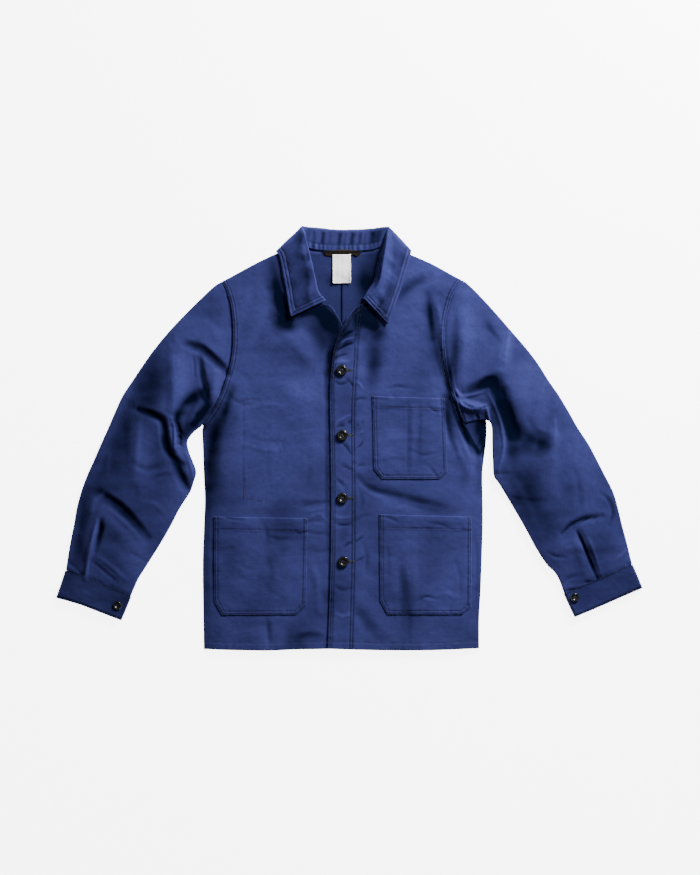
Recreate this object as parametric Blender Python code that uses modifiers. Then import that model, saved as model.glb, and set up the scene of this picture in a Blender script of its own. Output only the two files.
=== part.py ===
"""Chore jacket laid flat on its back, arms spread, one closed solid for each cut and sewn piece.

Lengths in the tables are millimetres, seen from above: x to the wearer's left, y up to the collar, z off
the surface that the jacket lies on. The origin is under the middle of the hem-to-collar box. Each cloth
piece is an open sheet, worked out from its outline and from the height of the top layer, that a Solidify
turns into a wall.
"""

import math

import bmesh
import bpy
import numpy as np
from mathutils import Vector

MM = 0.001

# Cloth
WALL = 1.2  # moleskin
BAND_WALL = 2.0  # collar, two layers of moleskin with an interlining
LABEL_WALL = 1.0
SEAM_GAP = 0.3
LAYER_GAP = 0.3  # between a panel and what is sewn on it
ROLL = 3.0  # how far a turned edge reaches past where it starts to turn
ROLL_STEPS = 4
BACK_INSET = 1.2  # the back's edge from the end of the front's turned edge, whose wall leans
ARMPIT_INSET = 2.0

# How high the top layer lies
CENTRE_X = -12.5
BODY_LOFT = 5.4
SLEEVE_LOFT = 6.4
LOFT_FROM, LOFT_TO = 205.0, 300.0  # distance from the middle over which the loft grows
COLLAR_LOFT = 0.4  # more where the collar lies under the back
PLACKET_LIFT = 1.4
PLACKET_WIDTH = 42.0
PLACKET_TOP = (214.0, 246.0)
UNDERLAP_DROP = 0.8
CUFF_LIFT = 0.7

# The back lies over the turned-down collar here
FALL_RAISE = 2.6
RAISE_Y = (165.0, 262.0)
RAISE_X = (192.0, 150.0)

# Mesh, in steps
ARMHOLE_STEPS = 10
SIDE_STEPS = 15
FRONT_STEPS = 12
BACK_STEPS = 8
BOW_EASE = 3  # how fast a panel's rows lose the bow of its end
BACK_SIDE_STEPS = 9
SLEEVE_STEPS = 23
SLEEVE_FAN = (0.45, 0.1)  # this share of the outer edge's rows meets this share of the inner edge
COLLAR_STEPS = 2  # between two stations

# Outlines. Each starts at the collar end.
LEFT_SHOULDER = ((70, 356), (110, 341), (160, 319), (208, 293))
RIGHT_SHOULDER = ((-97, 354.5), (-136, 341), (-182, 319), (-236, 290))
LEFT_ARMHOLE = (
    (208, 293), (194, 272), (183, 241), (177, 206), (177, 169), (181, 134), (188, 104), (203, 58), (214, 28),
    (229, -3), (245, -31),
)
RIGHT_ARMHOLE = (
    (-236, 290), (-226, 271), (-218, 241), (-215, 210), (-215, 173), (-219, 142), (-227, 112), (-237, 82),
    (-250, 56), (-263, 38), (-273, 23),
)
LEFT_SIDE = ((245, -31), (246, -80), (247, -150), (245, -225), (243, -280), (240, -336), (240, -388))
RIGHT_SIDE = ((-273, 23), (-271, -10), (-269, -69), (-267, -114), (-269, -169), (-271, -243), (-269, -389.5))
LEFT_FRONT_EDGE = (
    (70, 356), (63, 335), (59, 312), (54, 292), (46, 276), (32, 255), (11, 241), (-2, 226), (-10, 210),
    (-17, 198), (-24, 182), (-30, 160), (-34, 127), (-36, 99), (-36, 45), (-34, -101), (-35, -228), (-40, -388),
)
RIGHT_FRONT_EDGE = (
    (-97, 354.5), (-97, 330), (-93, 305), (-86, 282), (-74, 264), (-54, 249), (-41, 248), (-31, 241), (-23, 228),
    (-14, 212), (-4, 190), (1, 160), (3, 108), (3, -114), (1, -299), (-2, -388),
)
LEFT_HEM = ((-40, -388), (57, -391), (149, -391), (240, -388))
RIGHT_HEM = ((-2, -388), (-91, -389.5), (-147, -391.5), (-211, -391), (-269, -389.5))
BACK_SEAM_X = -15.0
BACK_HEM_Y = -386.0
LEFT_BACK_NECK = ((-15, 344), (20, 344), (48, 346.5), (63, 349.5))
RIGHT_BACK_NECK = ((-15, 344), (-45, 344), (-74, 346.5), (-89, 349.5))

LEFT_SLEEVE_OUTER = (
    (208, 293), (221, 284), (247, 258), (275, 227), (301, 197), (327, 167), (349, 138), (368, 108), (388, 79),
    (406, 49), (423, 19), (442, -10), (458, -40), (473, -69), (488, -99), (497, -129), (504, -158), (512, -188),
    (519, -217), (523, -232),
)
RIGHT_SLEEVE_OUTER = (
    (-236, 290), (-250, 281), (-276, 257), (-306, 227), (-334, 197), (-359, 167), (-380, 138), (-400, 108),
    (-419, 79), (-433, 49), (-446, 19), (-459, -10), (-472, -40), (-485, -69), (-496, -99), (-504, -129),
    (-509, -158), (-515, -188), (-520, -217), (-524, -243),
)
LEFT_SLEEVE_INNER = (
    (245, -31), (256, -38), (264, -54), (267, -69), (277, -84), (295, -114), (312, -143), (329, -173),
    (345, -203), (364, -232), (379, -247), (388, -262), (397, -286),
)
RIGHT_SLEEVE_INNER = (
    (-273, 23), (-289, 10), (-299, -6), (-296, -24), (-290, -40), (-284, -55), (-283, -66), (-287, -79),
    (-294, -99), (-313, -129), (-328, -158), (-345, -188), (-363, -217), (-382, -247), (-391, -262),
    (-404, -292),
)
LEFT_CUFF_SEAM = ((523, -232), (492, -245), (460, -259), (428, -273), (397, -286))
RIGHT_CUFF_SEAM = ((-524, -243), (-487, -255), (-448, -273), (-424, -283), (-404, -292))
LEFT_CUFF_OUTER = ((524, -233), (533, -254), (542, -276))
RIGHT_CUFF_OUTER = ((-525, -244), (-533, -268), (-542, -294))
LEFT_CUFF_INNER = ((396, -287), (406, -309), (416, -330))
RIGHT_CUFF_INNER = ((-403, -293), (-412, -315), (-421, -336))
LEFT_CUFF_END = ((542, -276), (505, -292), (473, -306), (445, -318), (416, -330))
RIGHT_CUFF_END = ((-542, -294), (-500, -306), (-463, -320), (-442, -328), (-421, -336))

# Main folds: from, by way of, to, half the width, height (a trough is below 0), lean of the steep side
FOLDS = (
    # Left front: below the chest pocket, through the lower pocket, and from the armhole
    ((25, -72), (110, -106), (235, -133), 26, -1.7, 0.2),
    ((20, -98), (110, -132), (230, -160), 24, 1.1, 0.0),
    ((110, -222), (107, -270), (117, -345), 20, -1.5, 0.0),
    ((199, 45), (206, 10), (213, -40), 17, -2.0, -0.3),
    ((216, 20), (226, -30), (228, -90), 16, 1.6, 0.0),
    ((120, 240), (140, 170), (150, 95), 34, -1.2, 0.2),
    # Right front: from the armhole, below the collar, and at the hem
    ((-236, 45), (-247, 15), (-256, -15), 17, -2.2, 0.3),
    ((-222, 60), (-232, 0), (-246, -70), 18, 1.4, 0.0),
    ((-120, 215), (-130, 120), (-140, 20), 34, -1.3, 0.0),
    ((-60, 200), (-75, 90), (-80, -20), 30, 1.0, 0.0),
    ((-95, -110), (-60, -116), (-20, -108), 18, -1.3, 0.0),
    ((-160, -330), (-140, -355), (-115, -380), 22, -1.2, 0.0),
    # Left sleeve: from the shoulder, the elbow, and above the cuff
    ((206, 276), (197, 190), (199, 84), 20, 2.6, -0.4),
    ((199, 80), (222, 66), (252, 58), 18, 2.6, 0.0),
    ((203, 100), (245, 118), (286, 116), 20, -2.6, 0.0),
    ((286, 116), (296, 40), (306, -8), 18, -2.4, 0.3),
    ((228, 40), (236, 10), (246, -24), 16, -2.8, 0.0),
    ((297, 190), (290, 158), (284, 126), 22, 2.4, 0.2),
    ((330, 40), (352, 22), (376, 8), 20, -1.8, 0.0),
    ((376, 32), (378, 0), (378, -28), 18, 2.6, 0.4),
    ((292, 10), (286, -30), (272, -68), 20, 2.8, 0.0),
    ((398, -171), (434, -146), (468, -142), 18, -2.2, 0.0),
    ((370, -200), (420, -190), (470, -196), 20, 1.6, 0.0),
    ((427, -170), (446, -210), (460, -252), 14, -2.8, -0.2),
    ((412, -176), (428, -214), (440, -250), 14, 1.8, 0.0),
    # Right sleeve
    ((-330, 178), (-278, 180), (-236, 148), 18, -2.6, 0.0),
    ((-328, 176), (-327, 100), (-326, 42), 20, 3.4, 0.3),
    ((-274, 150), (-270, 120), (-268, 84), 14, 2.2, 0.0),
    ((-314, 84), (-298, 66), (-276, 46), 18, -2.8, 0.0),
    ((-394, 56), (-346, 30), (-306, -46), 14, -3.2, 0.2),
    ((-328, 24), (-324, 0), (-318, -24), 13, 2.6, 0.0),
    ((-394, 46), (-392, -10), (-390, -68), 20, 2.8, 0.0),
    ((-290, -60), (-300, -84), (-318, -112), 14, -2.4, 0.0),
    ((-460, -97), (-411, -132), (-366, -178), 18, -2.2, 0.0),
    ((-478, -120), (-430, -158), (-390, -200), 20, 1.4, 0.0),
    ((-463, -150), (-474, -190), (-486, -254), 14, 2.4, 0.3),
    ((-448, -160), (-456, -200), (-466, -256), 12, -2.2, 0.0),
    ((-424, -212), (-414, -240), (-410, -276), 14, 1.4, 0.0),
)

# Collar stations, from the right front round the back to the left front: where the band is sewn on, its
# fold and its outer edge, each (x, y, z); how far the fall has turned from lying on the stand (0) to lying
# under it (180); and the fold's radius
COLLAR_STATIONS = (
    ((-55, 252, 5.6), (-45, 254, 7.0), (-108, 224, 7.3), 0, 1.6),
    ((-70, 266, 5.4), (-58, 271, 7.3), (-112, 246, 7.0), 0, 1.8),
    ((-82, 288, 5.3), (-63, 293, 7.3), (-116, 272, 6.9), 0, 2.0),
    ((-89, 315, 5.3), (-69, 320, 7.3), (-122, 303, 6.9), 0, 2.0),
    ((-92, 340, 5.3), (-76, 350, 7.3), (-128, 332, 7.0), 5, 2.0),
    ((-91, 352, 4.9), (-82, 377, 6.6), (-132, 341, 6.8), 45, 2.0),
    ((-89, 358, 4.4), (-87, 389, 4.6), (-135, 345, 4.1), 90, 2.0),
    ((-83, 354, 3.8), (-80, 390, 3.2), (-126, 339, 1.0), 135, 2.0),
    ((-60, 348, 3.4), (-51, 387, 3.0), (-88, 316, 1.0), 180, 2.0),
    ((-13, 345.5, 3.4), (-12, 384, 3.0), (-12, 309, 1.0), 180, 2.0),
    ((36, 347.5, 3.4), (34, 386, 3.0), (62, 316, 1.0), 180, 2.0),
    ((57, 354, 3.8), (66, 390, 3.2), (104, 341, 1.0), 135, 2.0),
    ((63, 358, 4.4), (73, 388, 4.6), (113, 348, 4.1), 90, 2.0),
    ((62, 352, 5.0), (70, 374, 7.2), (113, 340, 6.8), 45, 1.8),
    ((55, 338, 5.8), (66, 346, 8.4), (109, 324, 7.0), 5, 1.4),
    ((50, 314, 5.8), (61, 317, 8.8), (101, 297, 6.9), 0, 1.2),
    ((46, 293, 5.8), (57, 293, 8.8), (93, 270, 6.9), 0, 1.2),
    ((37, 277, 5.8), (48, 276, 8.6), (83, 243, 6.9), 0, 1.2),
    ((25, 258, 6.6), (29, 256, 8.4), (71, 211, 7.3), 0, 1.2),
)

# Shares of the band's width at which it has a point: closer round the fold
BAND_SHARES = (0, 0.15, 0.28, 0.34, 0.39, 0.45, 0.6, 0.8, 1)

# Patch pockets, cut from their panel: corners in order round the outline
CHEST_POCKET = ((42, 78), (176, 74), (181, -61), (166, -75), (60, -75), (45, -56))
LEFT_POCKET = ((55, -140), (226, -144), (225, -311), (208, -325), (70, -325), (56, -299))
RIGHT_POCKET = ((-250, -144), (-77, -147), (-80, -309), (-98, -325), (-235, -326), (-250, -300))

FRONT_BUTTONS = ((-14, 126), (-13, 6), (-13, -110), (-11, -227))
CUFF_BUTTONS = {"left": (416, -293), "right": (-428, -308)}
FRONT_BUTTON_RADIUS = 10.0
CUFF_BUTTON_RADIUS = 8.0
BUTTON_LIFT = 0.8
BUTTON_SIDES = 14
# Half of a button's section for a radius of 1: distance from the axis and height
BUTTON_PROFILE = ((0, 0.26), (0.5, 0.26), (0.62, 0.38), (0.82, 0.42), (0.97, 0.3), (1, 0.16), (0.72, 0), (0, 0))

NECK_LABEL = ((-44, 342.5), (19, 342.5), (12, 335.5), (-31, 335.5))
CARE_LABEL = ((-30, 334.5), (3, 334.5), (3, 286), (-30, 286))

# Colour, roughness and metallic value
BLUE_CLOTH = ((0.045, 0.07, 0.26, 1), 0.85, 0.0)
BLACK_PLASTIC = ((0.012, 0.012, 0.014, 1), 0.3, 0.0)
BROWN_TAPE = ((0.03, 0.02, 0.016, 1), 0.7, 0.0)
WHITE_TAPE = ((0.75, 0.76, 0.78, 1), 0.6, 0.0)


def smooth_step(values, start, end):
    """0 before start, 1 after end, and an eased rise between them."""
    t = np.clip((np.asarray(values, float) - start) / (end - start), 0, 1)
    return t * t * (3 - 2 * t)


def smooth_curve(points, per_span=12):
    """Close points on the Catmull-Rom curve through the given ones."""
    p = np.array(points, float)
    p = np.vstack([2 * p[0] - p[1], p, 2 * p[-1] - p[-2]])
    t = np.linspace(0, 1, per_span, endpoint=False)[:, None]
    spans = [
        0.5 * (2 * b + (c - a) * t + (2 * a - 5 * b + 4 * c - d) * t**2 + (3 * b - a - 3 * c + d) * t**3)
        for a, b, c, d in zip(p, p[1:], p[2:], p[3:])
    ]
    return np.vstack(spans + [p[-2:-1]])


def along(points, shares):
    """Points at the given shares of the length of the smooth curve through points."""
    dense = smooth_curve(points)
    length = np.concatenate([[0], np.cumsum(np.linalg.norm(np.diff(dense, axis=0), axis=1))])
    at = np.asarray(shares, float) * length[-1]
    return np.stack([np.interp(at, length, axis) for axis in dense.T], axis=1)


def unit(vectors):
    return vectors / np.maximum(np.linalg.norm(vectors, axis=-1, keepdims=True), 1e-9)


def fold_height(x, y):
    """What the folds add to the height at each point."""
    total = np.zeros(np.broadcast(x, y).shape)
    place = np.stack(np.broadcast_arrays(x, y), axis=-1)
    for start, middle, end, half_width, height, lean in FOLDS:
        line = smooth_curve((start, middle, end), 5)
        nearest = np.full(total.shape, np.inf)
        side = np.zeros(total.shape)
        share = np.zeros(total.shape)
        for index, (a, b) in enumerate(zip(line, line[1:])):
            step = b - a
            t = np.clip(((place - a) @ step) / (step @ step), 0, 1)
            away = place - a - t[..., None] * step
            distance = np.linalg.norm(away, axis=-1)
            closer = distance < nearest
            nearest = np.where(closer, distance, nearest)
            side = np.where(closer, np.sign(step[0] * away[..., 1] - step[1] * away[..., 0]), side)
            share = np.where(closer, (index + t) / (len(line) - 1), share)
        reach = half_width * (1 + lean * side)
        bell = 0.5 + 0.5 * np.cos(np.pi * np.clip(nearest / reach, 0, 1))
        total = total + height * bell * np.sin(np.pi * np.clip(share, 0.06, 0.94)) ** 0.5
    return total


def underside(x, y):
    """Height of the layer's underside: 0, or more where the collar's fall lies under the back."""
    return FALL_RAISE * smooth_step(y, *RAISE_Y) * (1 - smooth_step(np.abs(x - CENTRE_X), *RAISE_X[::-1]))


def top_height(x, y):
    """Height of the outer face of the top layer."""
    loft = BODY_LOFT + (SLEEVE_LOFT - BODY_LOFT) * smooth_step(np.abs(x - CENTRE_X), LOFT_FROM, LOFT_TO)
    loft = loft + COLLAR_LOFT * underside(x, y) / FALL_RAISE
    return np.maximum(loft + fold_height(x, y), underside(x, y) + 2 * WALL + LAYER_GAP)


def edge_x(curve, y):
    """Where a curve that runs down the jacket crosses each height y."""
    dense = smooth_curve(curve)
    return np.interp(-np.asarray(y, float), -dense[:, 1], dense[:, 0])


def left_front_height(x, y):
    """The left front is lifted along the placket, where it lies on the right front."""
    past_edge = x - edge_x(LEFT_FRONT_EDGE, y)
    beside = 1 - smooth_step(past_edge, PLACKET_WIDTH, 1.8 * PLACKET_WIDTH)
    return top_height(x, y) + PLACKET_LIFT * beside * (1 - smooth_step(y, *PLACKET_TOP))


def right_front_height(x, y):
    """The right front dips before it runs under the left one."""
    past_edge = x - edge_x(LEFT_FRONT_EDGE, y)
    return top_height(x, y) - UNDERLAP_DROP * smooth_step(past_edge, -24, 2)


def patch(top, bottom, left, right):
    """A grid between four sides: straight rows from left to right that take up the bow of the top and bottom."""
    u = np.linspace(0, 1, len(top))[:, None]
    v = np.linspace(0, 1, len(left))[:, None, None]
    rows = (1 - u) * left[:, None] + u * right[:, None]
    top_bow = top - (1 - u) * top[0] - u * top[-1]
    bottom_bow = bottom - (1 - u) * bottom[0] - u * bottom[-1]
    return rows + (1 - v) ** BOW_EASE * top_bow + v**BOW_EASE * bottom_bow


def side_of(name):
    """The outlines of one half: the left ones, or the right ones."""
    return {"left": 0, "right": 1}[name]


def shares(count):
    return np.linspace(0, 1, count + 1)


def armhole_stations(name, shift):
    """Points on the armhole seam from the shoulder's turned edge to the armpit's, moved off the seam by shift."""
    curve = (LEFT_ARMHOLE, RIGHT_ARMHOLE)[side_of(name)]
    dense = smooth_curve(curve)
    length = np.linalg.norm(np.diff(dense, axis=0), axis=1).sum()
    inset = ROLL / length
    points = along(curve, inset + (1 - 2 * inset) * shares(ARMHOLE_STEPS))
    ahead = unit(np.gradient(points, axis=0))
    outwards = np.stack([-ahead[:, 1], ahead[:, 0]], axis=1) * (1, -1)[side_of(name)]
    return points + shift * outwards


def turned(base, outwards, foot, head, angles):
    """Points round a turned edge: base is where it starts, at height head, and it ends at height foot."""
    rows = []
    for angle in angles:
        place = base + ROLL * math.sin(angle) * outwards
        height = foot + 0.5 * (head - foot) * (1 + math.cos(angle))
        rows.append(np.concatenate([place, height[..., None]], axis=-1))
    return rows


def roll_angles():
    return [math.pi * (step + 1) / ROLL_STEPS for step in range(ROLL_STEPS)]


def front_sheet(name):
    """Outer face of a front: rows from the shoulder to the hem, columns from the front edge to the side."""
    left = name == "left"
    shoulder = LEFT_SHOULDER if left else RIGHT_SHOULDER
    inner_edge = LEFT_FRONT_EDGE if left else RIGHT_FRONT_EDGE
    side = LEFT_SIDE if left else RIGHT_SIDE
    hem = LEFT_HEM if left else RIGHT_HEM
    height = left_front_height if left else right_front_height

    arm = armhole_stations(name, -SEAM_GAP / 2)
    flank = along(side, 0.012 + 0.988 * shares(SIDE_STEPS))
    outer = np.vstack([arm, flank])
    rows = len(outer)
    sewn = np.arange(rows) < len(arm)
    slope = shoulder[0][1] - outer[0, 1]
    ease = np.clip(1 - np.arange(rows) / len(arm), 0, 1) ** 1.3
    inner_y = outer[:, 1] + slope * ease
    inner_y[-1] = hem[0][1]
    inner = np.stack([edge_x(inner_edge, inner_y), inner_y], axis=1)
    outwards = unit(outer - inner)
    lead = np.where(sewn, math.pi * ROLL, ROLL)[:, None]
    start = outer - lead * outwards

    top = along(shoulder, shares(FRONT_STEPS))
    across = unit(top[-1] - top[0])
    up = np.array([-across[1], across[0]]) * (1 if left else -1)
    top = top - ROLL * up
    top = top + (start[0] - top[-1]) * shares(FRONT_STEPS)[:, None]
    inner[0] = top[0]
    bottom = along(hem, shares(FRONT_STEPS))
    bottom = bottom + (start[-1] - bottom[-1]) * shares(FRONT_STEPS)[:, None]
    plan = patch(top, bottom, inner, start)

    flat = np.concatenate([plan, height(plan[..., 0], plan[..., 1])[..., None]], axis=-1)
    head = flat[:, -1, 2]
    foot = underside(start[:, 0], start[:, 1])
    round_edge = turned(start, outwards, foot, head, roll_angles())
    columns = [flat]
    for step, edge in enumerate(round_edge, 1):
        on = start + math.pi * ROLL * step / ROLL_STEPS * outwards
        level = np.concatenate([on, height(on[:, 0], on[:, 1])[:, None]], axis=-1)
        columns.append(np.where(sewn[:, None], level, edge)[:, None])
    sheet = np.concatenate(columns, axis=1)

    first = sheet[0]
    turned_rows = turned(first[:, :2], up, underside(first[:, 0], first[:, 1]), first[:, 2], roll_angles())
    return np.concatenate([np.array(turned_rows)[::-1], sheet], axis=0)


def back_sheet(name):
    """Inner face of a back half: rows from the neck and shoulder to the hem, columns from the centre seam."""
    left = name == "left"
    way = 1 if left else -1
    neck = LEFT_BACK_NECK if left else RIGHT_BACK_NECK
    shoulder = LEFT_SHOULDER if left else RIGHT_SHOULDER
    side = LEFT_SIDE if left else RIGHT_SIDE
    inset = ROLL + BACK_INSET

    arm = armhole_stations(name, -SEAM_GAP / 2)[::2]
    flank = along(side, 0.02 + 0.98 * shares(BACK_SIDE_STEPS)) - np.array([way * inset, 0])
    outer = np.vstack([arm[:-1], arm[-1:] - np.array([way * ARMPIT_INSET, 0]), flank])
    outer[-1, 1] = BACK_HEM_Y

    across = unit(np.array(shoulder[-1], float) - np.array(shoulder[0], float))
    down = np.array([across[1], -across[0]]) * way
    neck_part = along(neck, shares(BACK_STEPS // 2))
    shoulder_part = along(shoulder, shares(BACK_STEPS // 2))[1:] + inset * down
    top = np.vstack([neck_part, shoulder_part])
    top[0, 0] = BACK_SEAM_X + way * SEAM_GAP / 2
    outer[0] = top[-1] + (outer[0] - top[-1]) * np.array([1, 0])
    top[-1] = outer[0]

    seam_y = np.interp(np.arange(len(outer)), [0, len(outer) - 1], [top[0, 1], BACK_HEM_Y])
    seam = np.stack([np.full(len(outer), BACK_SEAM_X + way * SEAM_GAP / 2), seam_y], axis=1)
    bottom = seam[-1] + (outer[-1] - seam[-1]) * shares(BACK_STEPS)[:, None]
    plan = patch(top, bottom, seam, outer)
    height = underside(plan[..., 0], plan[..., 1]) + WALL
    return np.concatenate([plan, height[..., None]], axis=-1)


def tube_sheet(top, bottom, outer, inner, lift=0.0):
    """Outer face of a flattened tube: closed rings of a top layer, a turned edge, an under layer and another."""
    outwards = unit(outer - inner)
    outer, inner = outer - ROLL * outwards, inner + ROLL * outwards
    top = top + (outer[0] - top[0]) * (1 - shares(len(top) - 1))[:, None]
    top = top + (inner[0] - top[-1]) * shares(len(top) - 1)[:, None]
    bottom = bottom + (outer[-1] - bottom[0]) * (1 - shares(len(bottom) - 1))[:, None]
    bottom = bottom + (inner[-1] - bottom[-1]) * shares(len(bottom) - 1)[:, None]
    plan = patch(top, bottom, outer, inner)
    height = top_height(plan[..., 0], plan[..., 1]) + lift
    upper = np.concatenate([plan, height[..., None]], axis=-1)
    lower = np.concatenate([plan, np.zeros_like(height)[..., None]], axis=-1)[:, ::-2]
    angles = roll_angles()[:-1]
    floor = np.zeros(len(outer))
    inner_edge = turned(inner, -outwards, floor, height[:, -1], angles)
    outer_edge = turned(outer, outwards, floor, height[:, 0], angles[::-1])
    edges = [np.array(edge).transpose(1, 0, 2) for edge in (inner_edge, outer_edge)]
    return np.concatenate([upper, edges[0], lower, edges[1]], axis=1)


def sleeve_sheet(name):
    at = side_of(name)
    rows = shares(SLEEVE_STEPS)
    fanned = np.interp(rows, [0, SLEEVE_FAN[0], 1], [0, SLEEVE_FAN[1], 1])
    outer = along((LEFT_SLEEVE_OUTER, RIGHT_SLEEVE_OUTER)[at], rows)
    inner = along((LEFT_SLEEVE_INNER, RIGHT_SLEEVE_INNER)[at], fanned)
    seam = along((LEFT_CUFF_SEAM, RIGHT_CUFF_SEAM)[at], shares(ARMHOLE_STEPS))
    return tube_sheet(armhole_stations(name, SEAM_GAP / 2), seam, outer, inner)


def cuff_sheet(name):
    at = side_of(name)
    columns = shares(ARMHOLE_STEPS)
    rows = shares(3)
    outer = along((LEFT_CUFF_OUTER, RIGHT_CUFF_OUTER)[at], rows)
    inner = along((LEFT_CUFF_INNER, RIGHT_CUFF_INNER)[at], rows)
    seam = along((LEFT_CUFF_SEAM, RIGHT_CUFF_SEAM)[at], columns)
    end = along((LEFT_CUFF_END, RIGHT_CUFF_END)[at], columns)
    seam = seam + SEAM_GAP * unit(end - seam)
    return tube_sheet(seam, end, outer, inner, CUFF_LIFT)


def collar_sheet():
    """Middle of the collar's band: rows along the neck, columns from the seam over the fold to the edge."""
    seam, fold, edge = (
        np.array([row[column] for row in COLLAR_STATIONS], float) for column in range(3)
    )
    turn = np.radians([row[3] for row in COLLAR_STATIONS])
    radius = np.array([row[4] for row in COLLAR_STATIONS], float)[:, None]
    middle = (seam[:, 0].min() + seam[:, 0].max()) / 2
    away = np.stack([np.sign(seam[:, 0] - middle), np.zeros(len(seam)), np.zeros(len(seam))], axis=1)
    offset = radius * (np.cos(turn)[:, None] * np.array([0, 0, 1.0]) + np.sin(turn)[:, None] * away)
    level = np.array([1, 1, 0])
    stand = fold + radius * unit((seam - fold) * level) - offset
    fall = fold + radius * unit((edge - fold) * level) + offset
    profiles = np.stack([seam, (seam + stand) / 2, stand, fold, fall, (fall + edge) / 2, edge], axis=1)
    stations = np.stack([smooth_curve(profiles[:, k], COLLAR_STEPS) for k in range(profiles.shape[1])], axis=1)
    rows = [along(profile, BAND_SHARES) for profile in stations]
    sheet = np.array(rows)
    sheet[..., 2] = np.maximum(sheet[..., 2], BAND_WALL / 2)
    return sheet


def sheet_mesh(name, sheet, ring=False):
    """An open mesh of four-sided faces through a grid of points; ring closes each row on itself."""
    rows, columns = sheet.shape[:2]
    mesh = bpy.data.meshes.new(name)
    last = columns if ring else columns - 1
    faces = [
        (r * columns + c, r * columns + (c + 1) % columns, (r + 1) * columns + (c + 1) % columns, (r + 1) * columns + c)
        for r in range(rows - 1)
        for c in range(last)
    ]
    mesh.from_pydata((sheet.reshape(-1, 3) * MM).tolist(), [], faces)
    return mesh


def face_up(mesh):
    """Turns the mesh so that its largest share of faces looks up."""
    work = bmesh.new()
    work.from_mesh(mesh)
    work.normal_update()
    if sum(face.normal.z * face.calc_area() for face in work.faces) < 0:
        bmesh.ops.reverse_faces(work, faces=work.faces)
    work.to_mesh(mesh)
    work.free()


def face_out(mesh):
    """Turns a ring mesh so that its faces look away from its inside."""
    work = bmesh.new()
    work.from_mesh(mesh)
    work.normal_update()
    middle = sum((v.co.z for v in work.verts)) / len(work.verts)
    if sum(face.normal.z * (face.calc_center_median().z - middle) for face in work.faces) < 0:
        bmesh.ops.reverse_faces(work, faces=work.faces)
    work.to_mesh(mesh)
    work.free()


def material(name, finish):
    colour, roughness, metallic = finish
    made = bpy.data.materials.new(name)
    made.use_nodes = True
    shader = made.node_tree.nodes["Principled BSDF"]
    shader.inputs["Base Color"].default_value = colour
    shader.inputs["Roughness"].default_value = roughness
    shader.inputs["Metallic"].default_value = metallic
    made.diffuse_color = colour
    return made


def place(name, mesh, finish, collection):
    part = bpy.data.objects.new(name, mesh)
    mesh.materials.append(material(name, finish))
    mesh.shade_smooth()
    collection.objects.link(part)
    return part


def cloth(name, mesh, finish, collection, wall=WALL, offset=-1.0):
    """A cloth wall on an open sheet: offset -1 lies behind its faces, 0 on both sides."""
    part = place(name, mesh, finish, collection)
    solidify = part.modifiers.new("Wall", "SOLIDIFY")
    solidify.thickness = wall * MM
    solidify.offset = offset
    return part


def cut_patch(name, base, outline, lift):
    """A copy of the sheet under the outline, cut to it and moved out by lift."""
    work = bmesh.new()
    work.from_mesh(base)
    corners = [Vector((x * MM, y * MM, 0)) for x, y in outline]
    centre = sum(corners, Vector()) / len(corners)
    for a, b in zip(corners, corners[1:] + corners[:1]):
        normal = Vector((b.y - a.y, a.x - b.x, 0))
        if normal.dot(centre - a) > 0:
            normal.negate()
        everything = list(work.verts) + list(work.edges) + list(work.faces)
        bmesh.ops.bisect_plane(work, geom=everything, plane_co=a, plane_no=normal, clear_outer=True, dist=1e-7)
    under = [face for face in work.faces if face.normal.z < 0.3]
    bmesh.ops.delete(work, geom=under, context="FACES")
    work.normal_update()
    moves = [(vert, vert.normal * lift * MM) for vert in work.verts]
    for vert, move in moves:
        vert.co += move
    mesh = bpy.data.meshes.new(name)
    work.to_mesh(mesh)
    work.free()
    return mesh


def button_mesh(radius):
    """Half of the button's section, which the Screw modifier turns."""
    mesh = bpy.data.meshes.new("button")
    points = [(radius * r * MM, 0, radius * z * MM) for r, z in BUTTON_PROFILE]
    mesh.from_pydata(points, [(i, i + 1) for i in range(len(points) - 1)], [])
    return mesh


def button(name, spot, radius, height, collection):
    """A turned button that lies just clear of the cloth, at the height of its highest point under it."""
    around = np.linspace(0, 2 * math.pi, 9)
    x = np.append(spot[0] + radius * np.cos(around), spot[0])
    y = np.append(spot[1] + radius * np.sin(around), spot[1])
    part = place(name, button_mesh(radius), BLACK_PLASTIC, collection)
    part.location = (spot[0] * MM, spot[1] * MM, (float(np.max(height(x, y))) + BUTTON_LIFT) * MM)
    screw = part.modifiers.new("Turn", "SCREW")
    screw.steps = screw.render_steps = BUTTON_SIDES
    screw.use_merge_vertices = True
    screw.merge_threshold = 0.00001
    return part


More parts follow.
